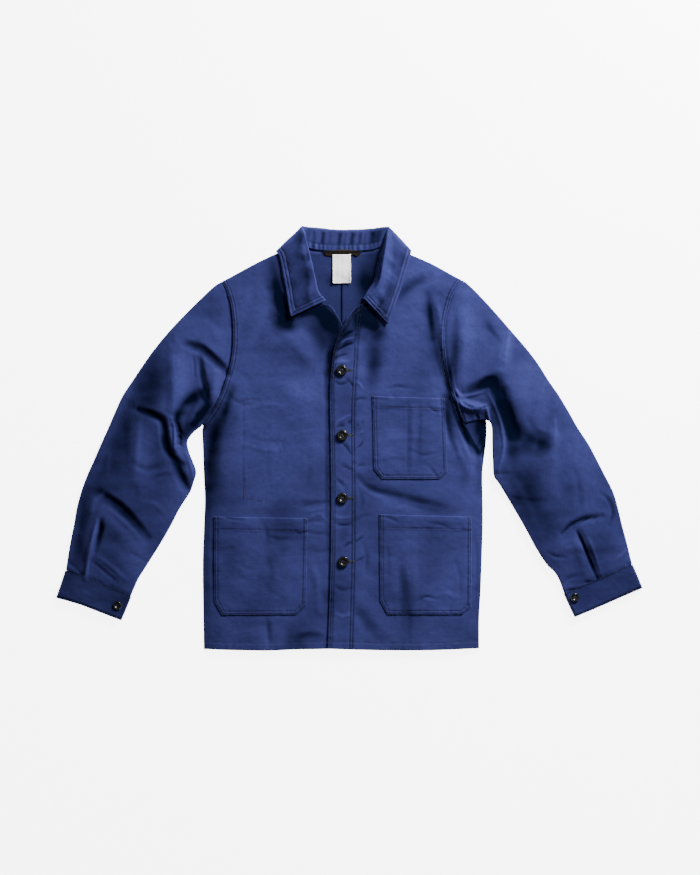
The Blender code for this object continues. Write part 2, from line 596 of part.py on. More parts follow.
def build():
    for old in list(bpy.data.objects):
        bpy.data.objects.remove(old, do_unlink=True)
    jacket = bpy.data.collections.new("chore_jacket")
    bpy.context.scene.collection.children.link(jacket)

    fronts = {}
    backs = {}
    for name in ("left", "right"):
        fronts[name] = sheet_mesh(f"front_{name}", front_sheet(name))
        face_up(fronts[name])
        backs[name] = sheet_mesh(f"back_{name}", back_sheet(name))
        face_up(backs[name])
        cloth(f"front_{name}", fronts[name], BLUE_CLOTH, jacket)
        cloth(f"back_{name}", backs[name], BLUE_CLOTH, jacket)
        for kind, sheet in (("sleeve", sleeve_sheet(name)), ("cuff", cuff_sheet(name))):
            mesh = sheet_mesh(f"{kind}_{name}", sheet, ring=True)
            face_out(mesh)
            cloth(f"{kind}_{name}", mesh, BLUE_CLOTH, jacket)

    collar = sheet_mesh("collar", collar_sheet())
    cloth("collar", collar, BLUE_CLOTH, jacket, BAND_WALL, 0.0)

    for node, base, outline in (
        ("pocket_chest", "left", CHEST_POCKET),
        ("pocket_left", "left", LEFT_POCKET),
        ("pocket_right", "right", RIGHT_POCKET),
    ):
        mesh = cut_patch(node, fronts[base], outline, LAYER_GAP + WALL)
        cloth(node, mesh, BLUE_CLOTH, jacket)

    for number, spot in enumerate(FRONT_BUTTONS, 1):
        button(f"button_front_{number}", spot, FRONT_BUTTON_RADIUS, left_front_height, jacket)
    for name, spot in CUFF_BUTTONS.items():
        button(
            f"button_cuff_{name}", spot, CUFF_BUTTON_RADIUS, lambda x, y: top_height(x, y) + CUFF_LIFT, jacket
        )

    both = bmesh.new()
    for name in ("left", "right"):
        both.from_mesh(backs[name])
    bmesh.ops.remove_doubles(both, verts=both.verts, dist=1.5 * SEAM_GAP * MM)
    backing = bpy.data.meshes.new("backing")
    both.to_mesh(backing)
    both.free()
    for node, outline, finish in (
        ("neck_label", NECK_LABEL, BROWN_TAPE),
        ("care_label", CARE_LABEL, WHITE_TAPE),
    ):
        mesh = cut_patch(node, backing, outline, LAYER_GAP + LABEL_WALL)
        cloth(node, mesh, finish, jacket, LABEL_WALL)


build()
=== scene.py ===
"""Looks of a chore jacket of cotton moleskin, laid flat on its back with its arms spread.

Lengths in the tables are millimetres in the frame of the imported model, seen from above: x to the
wearer's left, y up to the collar, z off the surface that the jacket lies on. Each cloth piece is a fine
grid of points over its outer face, on the form of the solid that it replaces, with the creases, seams and
stitches that the solid leaves out.
"""

import logging
import math
from dataclasses import dataclass, field
from enum import Enum
from typing import Callable, Sequence

import bmesh
import bpy
import numpy as np
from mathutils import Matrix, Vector
from mathutils.bvhtree import BVHTree


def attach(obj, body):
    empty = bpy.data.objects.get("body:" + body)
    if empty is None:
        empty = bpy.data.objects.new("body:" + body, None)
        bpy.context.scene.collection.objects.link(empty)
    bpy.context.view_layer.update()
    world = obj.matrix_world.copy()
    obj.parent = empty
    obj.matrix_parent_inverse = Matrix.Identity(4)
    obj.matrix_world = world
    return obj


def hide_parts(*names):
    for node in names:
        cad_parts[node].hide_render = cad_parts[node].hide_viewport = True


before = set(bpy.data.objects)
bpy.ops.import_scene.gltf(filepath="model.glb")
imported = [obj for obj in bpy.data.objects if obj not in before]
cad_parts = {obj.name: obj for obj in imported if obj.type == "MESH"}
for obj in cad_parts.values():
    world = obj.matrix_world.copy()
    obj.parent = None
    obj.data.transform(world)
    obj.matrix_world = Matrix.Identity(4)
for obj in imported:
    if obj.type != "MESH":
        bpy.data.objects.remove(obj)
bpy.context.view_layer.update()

log = logging.getLogger("chore_jacket")

Array = np.ndarray
Points = Sequence[Sequence[float]]
Rows = Sequence[Sequence[float]]
Height = Callable[[Array, Array], Array]
Colour = tuple[float, float, float, float]
Pair = tuple[float, float]
Numbers = tuple[float, ...]
Object = bpy.types.Object
Mesh = bpy.types.Mesh
Material = bpy.types.Material
Socket = bpy.types.NodeSocket

MM = 0.001
BODY = "root"

# Cloth, as in the solids
WALL = 1.2
BAND_WALL = 2.0
LABEL_WALL = 0.7
SEAM_GAP = 0.3
LAYER_GAP = 0.3
ROLL = 3.0
BACK_INSET = 1.2
ARMPIT_INSET = 2.0

# Rows of stitches, by their distance from the edge: beside a felled seam, and a single row
SEAM_ROWS = (2.2, 7.6)
SINGLE_ROW = 2.4
# The pockets' mouth: how far the hem's row is inside the hem
MOUTH_ROW_INSET = 1.6
# The part of the right front's edge that shows in the neck
NECK_FROM_Y = 150


class Side(Enum):
    """The wearer's sides, by the sign of x."""

    LEFT = 1
    RIGHT = -1

    @property
    def word(self) -> str:
        """The side in a piece's name."""
        return self.name.lower()


def pairs(*numbers: float) -> Array:
    """Points from their x and y in turn, one in each row."""
    return np.reshape(np.array(numbers, float), (-1, 2))


# Outlines. Each starts at the collar end.
SHOULDER = {
    Side.LEFT: pairs(70, 356, 110, 341, 160, 319, 208, 293),
    Side.RIGHT: pairs(-97, 354.5, -136, 341, -182, 319, -236, 290),
}
ARMHOLE = {
    Side.LEFT: pairs(
        208, 293, 194, 272, 183, 241, 177, 206, 177, 169, 181, 134, 188, 104, 203, 58, 214, 28,
    ),
    Side.RIGHT: pairs(
        -236, 290, -226, 271, -218, 241, -215, 210, -215, 173, -219, 142, -227, 112, -237, 82, -250, 56,
        -263, 38, -273, 23,
    ),
}
FLANK = {
    Side.LEFT: pairs(
        214, 28, 229, -3, 245, -31, 246, -80, 247, -150, 245, -225, 243, -280, 240, -336, 240, -388,
    ),
    Side.RIGHT: pairs(-273, 23, -271, -10, -269, -69, -267, -114, -269, -169, -271, -243, -269, -389.5),
}
BACK_FLANK = {
    Side.LEFT: pairs(
        214, 28, 240, 40, 256, 36, 258, 16, 257, -8, 254, -31, 249, -80, 249, -150, 247, -225, 244, -280,
        241, -336, 240, -388,
    ),
    Side.RIGHT: FLANK[Side.RIGHT],
}
FRONT_EDGE = {
    Side.LEFT: pairs(
        70, 356, 63, 335, 59, 312, 54, 292, 46, 276, 32, 255, 11, 241, -2, 226, -10, 210, -17, 198, -24, 182,
        -30, 160, -34, 127, -36, 99, -36, 45, -34, -101, -35, -228, -40, -388,
    ),
    Side.RIGHT: pairs(
        -97, 354.5, -97, 330, -93, 305, -86, 282, -74, 264, -54, 249, -41, 248, -31, 241, -23, 228, -14, 212,
        -4, 190, 1, 160, 3, 108, 3, -114, 1, -299, -2, -388,
    ),
}
HEM = {
    Side.LEFT: pairs(-40, -388, 57, -391, 149, -391, 240, -388),
    Side.RIGHT: pairs(-2, -388, -91, -389.5, -147, -391.5, -211, -391, -269, -389.5),
}
BACK_NECK = {
    Side.LEFT: pairs(-15, 344, 20, 344, 48, 346.5, 63, 349.5),
    Side.RIGHT: pairs(-15, 344, -45, 344, -74, 346.5, -89, 349.5),
}
SLEEVE_OUTER = {
    Side.LEFT: pairs(
        208, 293, 221, 284, 247, 258, 275, 227, 301, 197, 327, 167, 349, 138, 368, 108, 388, 79, 406, 49,
        423, 19, 442, -10, 458, -40, 473, -69, 488, -99, 497, -129, 504, -158, 512, -188, 519, -217, 523,
        -232,
    ),
    Side.RIGHT: pairs(
        -236, 290, -250, 281, -276, 257, -306, 227, -334, 197, -359, 167, -380, 138, -400, 108, -419, 79,
        -433, 49, -446, 19, -459, -10, -472, -40, -485, -69, -496, -99, -504, -129, -509, -158, -515, -188,
        -520, -217, -524, -243,
    ),
}
SLEEVE_INNER = {
    Side.LEFT: pairs(
        214, 28, 236, 34, 256, 33, 263, 22, 264, -10, 265, -40, 267, -69, 277, -84, 295, -114, 312, -143,
        329, -173, 345, -203, 364, -232, 379, -247, 388, -262, 397, -286,
    ),
    Side.RIGHT: pairs(
        -273, 23, -289, 10, -299, -6, -296, -24, -290, -40, -284, -55, -283, -66, -287, -79, -294, -99, -313,
        -129, -328, -158, -345, -188, -363, -217, -382, -247, -391, -262, -404, -292,
    ),
}
CUFF_SEAM = {
    Side.LEFT: pairs(523, -232, 492, -245, 460, -259, 428, -273, 397, -286),
    Side.RIGHT: pairs(-524, -243, -487, -255, -448, -273, -424, -283, -404, -292),
}
CUFF_OUTER = {
    Side.LEFT: pairs(524, -233, 533, -254, 542, -276),
    Side.RIGHT: pairs(-525, -244, -533, -268, -542, -294),
}
CUFF_INNER = {
    Side.LEFT: pairs(396, -287, 406, -309, 416, -330),
    Side.RIGHT: pairs(-403, -293, -412, -315, -421, -336),
}
CUFF_END = {
    Side.LEFT: pairs(542, -276, 505, -292, 473, -306, 445, -318, 416, -330),
    Side.RIGHT: pairs(-542, -294, -500, -306, -463, -320, -442, -328, -421, -336),
}
PLACKET_INNER_ROW = pairs(21, 247, 15.5, 201, 11.5, 145, 8, 85, 6.5, 30, 7.5, -101, 7, -228, 3, -388)
BACK_SEAM_X = -15.0
BACK_HEM_Y = -386.0

# Folds: half the width, the height in millimetres (or the painted tone, in the table of painted light
# and shade), how far the steep side leans, then x and y of each point of the path
# Main folds
MAIN_FOLDS = (
    (20, -0.96, 0.2, 19, -78, 53, -100, 105, -117, 182, -137), (24, 0.84, 0, 15, -103, 105, -135, 222, -164),
    (18, -1.08, 0, 94, -226, 100, -274, 107, -350), (13, -2.88, 0, 173, 75, 182, 30, 195, -20),
    (16, 1.92, 0, 213, 15, 222, -35, 224, -94),
    (22, -1.44, 0, 142, 265, 149, 221, 156, 174, 166, 128, 179, 84),
    (18, 1.2, 0, -226, 55, -235, -4, -250, -74), (34, -0.6, 0, -125, 192, -131, 108, -142, 16),
    (30, 0.84, 0, -66, 189, -81, 82, -86, -27), (14, -0.84, 0, -98, -118, -66, -123, -39, -121),
    (18, -0.84, 0, -157, -335, -150, -359, -139, -385),
    (22, -1.92, 0, 193, 254, 192, 185, 190, 121, 193, 82),
    (30, 2.16, 0, 206, 252, 208, 183, 204, 128, 197, 85), (13, 4.8, 0, 195, 76, 219, 62, 251, 54),
    (20, -3.12, 0, 212, 77, 238, 92, 260, 100, 278, 88), (30, -3.36, 0, 271, 85, 282, 54, 297, 19, 313, -13),
    (14, -2.4, 0, 224, 36, 233, 6, 242, -27), (20, 3.12, 0.2, 291, 188, 284, 159, 277, 129),
    (20, -1.92, 0, 315, 14, 341, 0, 369, -13), (16, 1.68, 0.3, 374, 23, 376, -5, 376, -35),
    (16, 1.92, 0, 268, 64, 281, 12, 279, -35, 267, -72), (14, -1.2, 0, 396, -175, 431, -151, 464, -146),
    (20, 1.2, 0, 365, -204, 415, -195, 465, -200), (10, -1.44, 0, 423, -174, 443, -213, 458, -256),
    (12, 1.2, 0, 412, -178, 427, -215, 441, -254),
    (13, -4.08, 0, -300, 173, -275, 165, -252, 147, -226, 121),
    (32, 4.8, 0.4, -323, 164, -321, 92, -323, 40),
    (10, -3.36, 0.2, -278, 148, -273, 120, -267, 94, -262, 68), (14, 2.88, 0, -246, 119, -248, 93, -251, 71),
    (16, -2.64, 0, -322, 12, -320, 38, -305, 64, -277, 82),
    (12, -3.84, 0.2, -389, 52, -363, 42, -345, 28, -339, -17, -313, -50),
    (12, 2.4, 0, -328, 24, -324, -2, -317, -28), (30, 3.84, 0.3, -395, 41, -393, -18, -391, -77),
    (14, -2.64, 0, -322, -47, -309, -73, -296, -101), (15, -2.64, 0, -462, -101, -418, -134, -374, -184),
    (22, 1.68, 0, -480, -123, -434, -160, -393, -205), (10, 3.36, 0.2, -465, -152, -476, -193, -487, -257),
    (9, -3.36, 0, -458, -151, -460, -175, -469, -206), (18, -1.92, 0, -486, -100, -494, -156, -505, -230),
)
# Creases of the fronts
BODY_CREASES = (
    (16, 0.84, 0, -150, 260, -168, 212, -192, 158), (14, -0.6, 0, -174, 278, -187, 230, -200, 182),
    (26, -1.8, 0, -107, 234, -85, 212, -61, 190, -44, 160, -39, 123),
    (16, -1.44, 0, -139, 323, -129, 276, -120, 234, -111, 202), (16, 0.96, 0, -124, 197, -94, 169, -61, 130),
    (3.2, -0.48, 0, -137, -6, -129, -20, -133, -39), (2.8, -0.42, 0, -120, 0, -127, -20),
    (6, -0.36, 0, -150, -18, -151, -58, -146, -101), (7, -0.36, 0, -77, -23, -76, -62, -79, -101),
    (6, 0.24, 0, -64, -33, -64, -81), (3, -0.42, 0, -196, 26, -181, 20, -168, 11),
    (2.6, -0.36, 0, -195, -15, -182, -19), (2.6, -0.42, 0, -210, 65, -195, 61),
    (3, -0.36, 0, -194, -59, -175, -54), (7, -0.72, 0, -46, 121, -44, 84, -42, 32),
    (6, 0.72, 0, -194, -10, -159, -21, -124, -21), (5, -0.54, 0, -181, 2, -151, -6, -118, -7),
    (2.6, -0.6, 0, -126, -6, -123, -15, -121, -26), (4, -1.08, 0, -92, -126, -66, -120, -39, -117),
    (5, 0.6, 0, -89, -135, -63, -131, -39, -128), (3.6, -1.08, 0, -83, -172, -59, -176, -37, -178),
    (3.4, 1.08, 0, -79, -154, -66, -143, -53, -141, -42, -152),
    (7, -1.32, 0.2, -153, -334, -150, -358, -148, -384), (9, -0.84, 0, -112, -367, -84, -364, -45, -367),
    (6, -0.72, 0, -100, -375, -79, -362, -52, -364), (18, -0.72, 0, -231, 59, -246, 11, -255, -63),
    (14, -0.36, 0, -165, -155, -153, -201, -148, -257, -150, -303),
    (3.4, -0.48, 0, -237, -141, -218, -148, -192, -150), (3.4, -1.08, 0, -81, -157, -66, -152, -50, -154),
    (7, 0.6, 0, -190, 49, -163, 62, -122, 60), (5, -0.72, 0, -225, 85, -207, 67, -185, 63),
    (6, -0.84, 0, -251, -153, -253, -227, -249, -301), (10, 0.96, 0, -71, -228, -60, -265, -56, -320),
    (4, -0.6, 0, -76, -204, -59, -211, -40, -207), (7, -1.8, 0.2, 15, -71, 34, -90, 56, -99, 93, -107),
    (8, -1.32, 0.2, 88, -105, 129, -116, 177, -127), (7, 0.6, 0, 19, -86, 45, -105, 85, -116),
    (6, -0.84, 0, 19, -97, 24, -116, 21, -131), (11, -1.56, 0, 144, 266, 149, 225, 155, 183),
    (12, -1.92, 0, 157, 183, 169, 139, 184, 79), (8, 1.2, 0, 160, 254, 168, 214, 171, 171),
    (22, -1.44, 0, 38, 202, 38, 158, 40, 106), (14, -1.44, 0, 83, 252, 111, 280, 146, 298),
    (7, -2.88, 0, 195, 66, 206, 25, 224, -27), (9, 1.68, 0, 182, 47, 195, -5, 214, -53),
    (12, -0.6, 0, 94, -224, 99, -261, 107, -298), (7, -0.6, 0, 108, -297, 111, -334, 111, -378),
    (9, 0.48, 0, 118, -230, 123, -275, 125, -323), (5, -0.96, 0, 72, 92, 91, 96, 111, 92),
    (22, -1.08, 0, 8, -308, 27, -336, 56, -368), (2.6, -1.68, 0, 212, 37, 225, 42),
    (2.6, -1.68, 0, 218, 22, 231, 30), (2.6, -1.68, 0, 223, 9, 238, 15),
    (4, -0.48, 0, 148, -157, 167, -159, 183, -165), (6, 0.6, 0, 148, -301, 172, -286, 200, -293),
    (3.4, -0.96, 0, 126, -300, 141, -292, 161, -296), (5, -0.72, 0, 13, -152, 30, -141, 45, -144),
    (6, -0.96, 0, 26, -195, 32, -219, 30, -249), (6, -0.84, 0, 178, 47, 183, 14, 187, -33),
    (5, -0.72, 0, 230, -165, 235, -226, 233, -300), (8, 0.48, 0, 64, -5, 110, 3, 166, -5),
    (3.4, -0.48, 0, 67, -143, 78, -148, 91, -154),
)
# Puckers along the placket
PLACKET_CREASES = (
    (3.2, -1.89, 0, -13, 187, -3, 194, 6, 198), (3.2, 1.47, 0, -16, 176, -5, 183, 6, 185),
    (3.4, -1.89, 0, -22, 163, -7, 172, 6, 176), (3.4, -1.47, 0, -26, 148, -16, 153, -3, 155),
    (3.4, 1.26, 0, -27, 139, -16, 142, 0, 142), (2.6, -1.05, 0, -8, 113, 1, 105, 7, 96),
    (3.4, -1.26, 0, -26, 104, -16, 100, -5, 104), (3, -1.47, 0, -22, 22, -9, 26, 4, 33),
    (3, 1.05, 0, -24, 31, -11, 37, 2, 44), (3, -1.47, 0, -13, -7, -5, -17, 2, -28),
    (3, -1.26, 0, -13, -50, -3, -54, 6, -59), (3.2, -1.47, 0, -24, -74, -16, -81, -9, -87),
    (2.6, 1.05, 0, -23, -91, -15, -94, -10, -98), (3.6, -1.26, 0, -27, -155, -13, -159, 4, -157),
    (3.6, 1.05, 0, -27, -144, -13, -146, 2, -144), (3, -1.26, 0, -9, -200, -2, -194, 6, -191),
    (4, -0.84, 0, -26, -272, -13, -278, 4, -276), (4, 1.05, 0, -26, -322, -13, -328, 4, -324),
    (2.6, -1.26, 0, 14, 24, 20, 28, 25, 31), (2.6, 0.84, 0, 14, 7, 20, 11, 27, 13),
    (2.6, -1.26, 0, 14, -17, 20, -13, 25, -7), (2.6, -1.05, 0, 14, -52, 22, -48, 29, -48),
    (2.8, -1.05, 0, 11, 70, 19, 74, 30, 74), (2.8, -1.26, 0, 11, -191, 19, -185, 26, -181),
    (2.8, -1.05, 0, 13, -226, 21, -222, 28, -220), (2.8, 1.05, 0, 13, 105, 19, 100, 26, 91),
)
# Creases of the right sleeve
RIGHT_SLEEVE_CREASES = (
    (7, -2.4, 0, -296, 175, -272, 167, -251, 149, -227, 125),
    (5, -2.4, 0.2, -275, 146, -272, 118, -266, 92, -261, 72),
    (3.6, -1.44, 0, -288, 152, -285, 133, -285, 115), (9, -0.84, 0, -321, 32, -308, 62, -278, 86),
    (7, 1.2, 0, -296, 30, -286, 49, -275, 66),
    (6, -2.64, 0.2, -390, 53, -364, 45, -344, 30, -338, -7, -331, -29, -307, -49),
    (9, 1.08, 0, -386, 38, -389, -5, -393, -53), (4.5, 2.16, 0, -327, 37, -322, 11, -322, -19),
    (4, -2.16, 0, -316, 28, -312, 11, -312, -11), (6, -1.8, 0, -318, -47, -307, -73, -294, -99),
    (6, 1.44, 0, -301, -27, -292, -53, -286, -79),
    (7, -2.04, 0.2, -459, -99, -438, -112, -412, -132, -370, -182),
    (8, 1.68, 0, -478, -142, -471, -119, -456, -103), (8, 1.2, 0, -441, -132, -408, -160, -378, -195),
    (3.6, 2.4, 0, -466, -152, -477, -200, -488, -254), (4, -2.4, 0, -459, -152, -459, -168, -464, -185),
    (3, -1.08, 0, -470, -209, -477, -229, -481, -252), (4.5, -1.32, 0, -481, -222, -451, -246, -429, -265),
    (5, 0.96, 0, -466, -218, -438, -237, -412, -263), (3.4, -1.2, 0, -405, -211, -386, -220, -368, -231),
    (4, -1.2, 0, -520, -226, -505, -239, -492, -252), (6, 0.72, 0, -444, -20, -446, -42, -447, -68),
    (7, -0.72, 0, -370, -79, -348, -68, -322, -68), (7, 0.72, 0, -385, -116, -360, -121, -340, -138),
    (12, 0.6, 0, -267, 216, -250, 201, -238, 176), (9, -1.2, 0, -400, -47, -374, -57, -347, -49),
    (3.4, 1.92, 0, -322, 4, -314, 9, -307, 2), (3, -1.92, 0, -323, -15, -316, -9, -309, -13),
)
# Creases of the left sleeve
LEFT_SLEEVE_CREASES = (
    (10, -0.96, 0, 195, 235, 194, 188, 192, 133, 192, 98), (8, -1.08, 0, 251, 214, 266, 193, 277, 180),
    (5, 2.64, 0, 189, 129, 193, 96, 206, 79, 230, 81, 256, 91),
    (9, -1.68, 0, 210, 80, 232, 95, 255, 108, 275, 114), (5, 2.64, 0, 195, 74, 211, 59, 232, 54, 252, 61),
    (12, -1.08, 0, 279, 105, 290, 72, 299, 35, 310, -2), (6, 2.04, 0, 256, 84, 276, 40, 285, -12, 274, -60),
    (6, 1.92, 0, 296, 202, 291, 171, 285, 143), (9, -0.96, 0, 329, 36, 347, 12, 373, 1),
    (6, 0.96, 0, 378, 41, 380, 14, 378, -23), (5.5, -4.8, 0, 235, 42, 246, 15, 254, -19),
    (4.5, 3.12, 0, 254, 55, 257, 39, 263, 18), (4.2, -3.84, 0.3, 392, -176, 407, -161, 429, -150, 468, -143),
    (4, 0.72, 0, 407, -172, 437, -157, 470, -152), (4, -3.84, 0, 420, -172, 429, -191, 442, -222, 457, -257),
    (4, 0.72, 0, 433, -170, 450, -207, 465, -250), (6, -1.56, 0, 463, -99, 479, -114, 487, -138, 479, -160),
    (2.8, -1.2, 0, 400, -281, 413, -278, 424, -276), (4, -1.2, 0, 365, -211, 381, -218, 402, -220),
    (3, -0.84, 0, 394, -202, 405, -194, 418, -192), (3.4, -0.96, 0, 409, -268, 431, -266, 454, -261),
    (5, 1.2, 0, 491, -226, 503, -215, 518, -202), (4, -0.72, 0, 293, -106, 315, -111, 361, -115),
    (18, 0.6, 0, 374, -15, 379, -63, 387, -130), (4, -1.2, 0, 267, -65, 283, -65, 302, -63),
    (4, -1.92, 0, 207, 67, 230, 55, 254, 59), (9, -0.72, 0, 416, -60, 425, -97, 428, -131),
    (5, -0.96, 0, 256, -4, 263, -32, 265, -56), (12, 0.72, 0, 292, -61, 317, -98, 351, -172),
    (4, -1.08, 0, 392, -270, 407, -257, 426, -252),
)
# Pressed creases of the chest pocket
CHEST_CREASES = (
    (5, -0.66, 0, 109, 67, 109, 5, 108, -67), (4, -0.48, 0, 130, 65, 130, 11, 128, -44),
    (6, 0.48, 0, 119, 58, 119, 3, 117, -60), (3.4, -0.72, 0, 141, 63, 154, 52, 167, 48),
    (5, -0.72, 0, 113, -22, 137, -30, 163, -26), (4, -0.84, 0, 148, -52, 156, -63, 161, -70),
    (3, -0.72, 0, 48, 70, 59, 72, 72, 70), (7, -0.48, 0, 65, -45, 84, -38, 104, -42),
)
# Creases of the lower left pocket
LEFT_POCKET_CREASES = (
    (3.4, -0.72, 0, 63, -144, 76, -148, 89, -155), (5, -0.48, 0, 141, -154, 163, -157, 183, -163),
    (3.6, -0.6, 0, 126, -300, 139, -292, 161, -296), (11, -0.24, 0, 95, -228, 99, -268, 105, -313),
    (6, -0.48, 0, 71, -199, 72, -227, 71, -260), (7, -0.48, 0, 195, -227, 204, -255, 204, -286),
)
# Creases of the lower right pocket
RIGHT_POCKET_CREASES = (
    (3.4, -0.6, 0, -238, -143, -220, -148, -194, -152), (6, -0.6, 0, -163, -151, -153, -169, -151, -192),
    (4.5, -0.84, 0, -155, -178, -133, -185, -107, -185), (8, -0.42, 0, -149, -219, -145, -242, -145, -264),
    (7, -0.48, 0, -203, -227, -192, -238, -174, -242), (3.4, -0.84, 0, -100, -170, -92, -176, -85, -174),
)
# Painted shade, below 0, and painted light, above 0: shadow in hollows, under the collar's leaves, beside
# the placket and in the armpits, and broad slopes darker or paler by how they face the light
PAINTED_LIGHT_AND_SHADE = (
    (26, -0.7, 0, -147, 323, -137, 275, -130, 230), (20, -0.9, 0, -128, 256, -119, 227, -106, 208),
    (20, -0.9, 0, -139, 223, -125, 208, -99, 212), (28, -1.3, 0, -80, 241, -54, 234, -30, 212, -15, 182),
    (34, -0.5, 0, -69, 223, -47, 193, -36, 160), (13, -0.9, 0, -28, 179, -36, 142, -39, 80),
    (7, -0.5, 0, -41, 71, -41, -58, -39, -225), (24, -0.2, 0, -150, 164, -110, 158, -69, 142),
    (36, 0.4, 0, -113, 101, -58, 88), (60, 0.3, 0, -184, 123, -147, -3, -128, -58),
    (24, 0.25, 0, -58, 16, -62, -40), (25, -1.6, 0, 27, 241, 38, 221, 55, 197),
    (24, -0.5, 0, 57, 193, 53, 156, 44, 116, 36, 82), (20, -0.45, 0, 90, 260, 116, 284, 149, 302),
    (9, -0.4, 0, 147, 267, 151, 228, 155, 186), (14, -0.9, 0, 183, 142, 192, 75),
    (12, -1.3, 0, 190, 73, 201, 43, 216, 10, 238, -25), (14, -0.6, 0, 181, 99, 183, 68, 190, 25, 205, -25),
    (15, -0.35, 0, 199, 210, 199, 154, 194, 101), (36, 0.25, 0, 216, 234, 231, 173),
    (18, -0.3, 0, 253, 223, 268, 179), (36, 0.3, 0, 112, 327, 186, 293, 264, 234),
    (40, -0.2, 0, -245, 264, -162, 323), (10, -0.8, 0, -106, 221, -78, 232, -49, 247),
    (18, -0.5, 0, 240, 97, 260, 108, 279, 110), (46, -0.75, 0, 271, 103, 284, 68, 301, 31, 316, -6),
    (22, 0.35, 0, 355, 101, 358, 27), (32, -0.6, 0, 342, -10, 375, -19), (24, -0.5, 0, 292, 5, 303, -62),
    (22, -0.3, 0, -317, 204, -298, 164), (24, -0.6, 0, 16, 238, 3, 204, -8, 171),
    (14, -0.3, 0, 279, -31, 286, -68), (58, -0.85, 0, 319, -32, 336, -114, 362, -203),
    (40, 0.15, 0, 436, -58, 445, -114), (40, -0.25, 0, 445, -197, 492, -188),
    (90, -0.3, 0, 418, -3, 455, -114, 464, -225), (150, -0.42, 0, -396, 34, -424, -77, -452, -206),
    (110, -0.12, 0, 418, -114, 464, -280), (46, 0.15, 0, 66, -62, 168, -77),
    (36, 0.18, 0, 94, -308, 214, -308), (56, -0.55, 0, -326, 171, -363, 97, -411, 12, -452, -80),
    (14, 0.22, 0, -365, 164, -409, 90, -461, -40, -483, -95), (24, -0.2, 0, -491, -169, -502, -228),
    (30, -0.3, 0, -350, 142, -354, 90, -365, 56),
    (22, -0.5, 0, -313, 12, -315, 38, -304, 62, -285, 79, -267, 84),
    (14, -0.8, 0, -284, 27, -267, 51, -252, 68), (18, -0.3, 0, -302, 34, -280, 64),
    (12, -0.5, 0, -319, 45, -311, -3), (10, -0.6, 0, -271, 88, -263, 62),
    (8, -0.5, 0, -472, -169, -482, -236), (16, -0.25, 0, -12, -142, -12, -203),
    (18, -0.6, 0, 16, 236, 23, 193), (24, -0.2, 0, -250, -127, -51, -127),
    (20, -0.2, 0, 66, -136, 240, -136), (22, -0.9, 0, -280, 38, -298, 16, -308, -6),
    (16, -0.5, 0, -339, -3, -321, -43, -298, -84), (38, -0.75, 0, -223, 75, -237, 19, -250, -43),
    (28, -0.45, 0, -260, 5, -256, -58, -261, -123), (13, -0.45, 0, 197, 64, 208, 19, 225, -12, 242, -32),
    (20, -0.55, 0, -265, -95, -267, -225, -267, -391), (12, -0.6, 0, -213, 99, -223, 68, -232, 34),
    (14, -0.35, 0, -110, -376, -73, -365, -43, -373), (18, -0.2, 0, 94, -225, 99, -280, 105, -373),
    (22, -0.3, 0, 49, -93, 112, -112, 190, -129), (20, -0.1, 0, 1, 80, 48, -77),
    (44, 0.3, 0, 160, -188, 177, -234), (14, -0.3, 0, 16, -308, 31, -336, 57, -365),
)

# Collar stations, from the right front round the back to the left front: where the band is sewn on, its
# fold and its outer edge, each (x, y, z); how far the fall has turned from lying on the stand (0) to lying
# under it (180); and the fold's radius
COLLAR_STATIONS = (
    ((-55, 252, 5.6), (-45, 254, 8.6), (-108, 224, 12.0), 0, 1.6),
    ((-70, 266, 5.4), (-58, 271, 13.0), (-112, 246, 11.5), 0, 1.8),
    ((-82, 288, 5.3), (-63, 293, 15.5), (-116, 272, 10.5), 0, 2.0),
    ((-89, 315, 5.3), (-69, 320, 16.5), (-122, 303, 9.5), 0, 2.0),
    ((-92, 340, 5.3), (-76, 350, 15.0), (-128, 332, 8.5), 5, 2.0),
    ((-91, 352, 4.9), (-82, 377, 10.5), (-132, 341, 7.5), 45, 2.0),
    ((-89, 358, 4.4), (-87, 389, 6.0), (-135, 345, 4.6), 90, 2.0),
    ((-83, 354, 3.8), (-80, 390, 3.6), (-126, 339, 1.0), 135, 2.0),
    ((-60, 348, 3.4), (-51, 387, 3.0), (-88, 316, 1.0), 180, 2.0),
    ((-13, 345.5, 3.4), (-12, 384, 3.0), (-12, 309, 1.0), 180, 2.0),
    ((36, 347.5, 3.4), (34, 386, 3.0), (62, 316, 1.0), 180, 2.0),
    ((57, 354, 3.8), (66, 390, 3.6), (104, 341, 1.0), 135, 2.0),
    ((63, 358, 4.4), (73, 388, 6.0), (113, 348, 4.6), 90, 2.0),
    ((62, 352, 5.0), (70, 374, 11.5), (113, 340, 8.0), 45, 1.8),
    ((55, 338, 5.8), (66, 346, 16.0), (109, 324, 9.5), 5, 1.4),
    ((50, 314, 5.8), (61, 317, 17.0), (101, 297, 10.5), 0, 1.2),
    ((46, 293, 5.8), (57, 293, 16.5), (93, 270, 11.5), 0, 1.2),
    ((37, 277, 5.8), (48, 276, 14.5), (83, 243, 12.0), 0, 1.2),
    ((25, 258, 6.6), (29, 256, 10.5), (71, 211, 12.5), 0, 1.2),
)

# Tucks pressed into the stand at the back of the neck: x, half the width, depth
STAND_TUCKS = (
    (-80, 4.5, 1.1), (-66, 3.0, 0.5), (-50, 3.4, 1.2), (-37, 2.6, 0.35), (-19, 3.4, 1.1), (-9, 2.2, 0.4),
    (4, 4.0, 1.2), (19, 3.0, 0.8), (28, 2.2, 0.4), (42, 6.5, 0.8), (55, 5.0, 0.9),
)

# Painted shadow inside the neck, cast by the collar and the care label, and a painted paler spot where the
# depth is below 0: x, y, reach, depth
NECK_SHADES = ((29, 288, 20, 0.3), (-32, 291, 10, 0.4), (-8, 286, 6, 0.25), (24, 336, 14, -0.25))

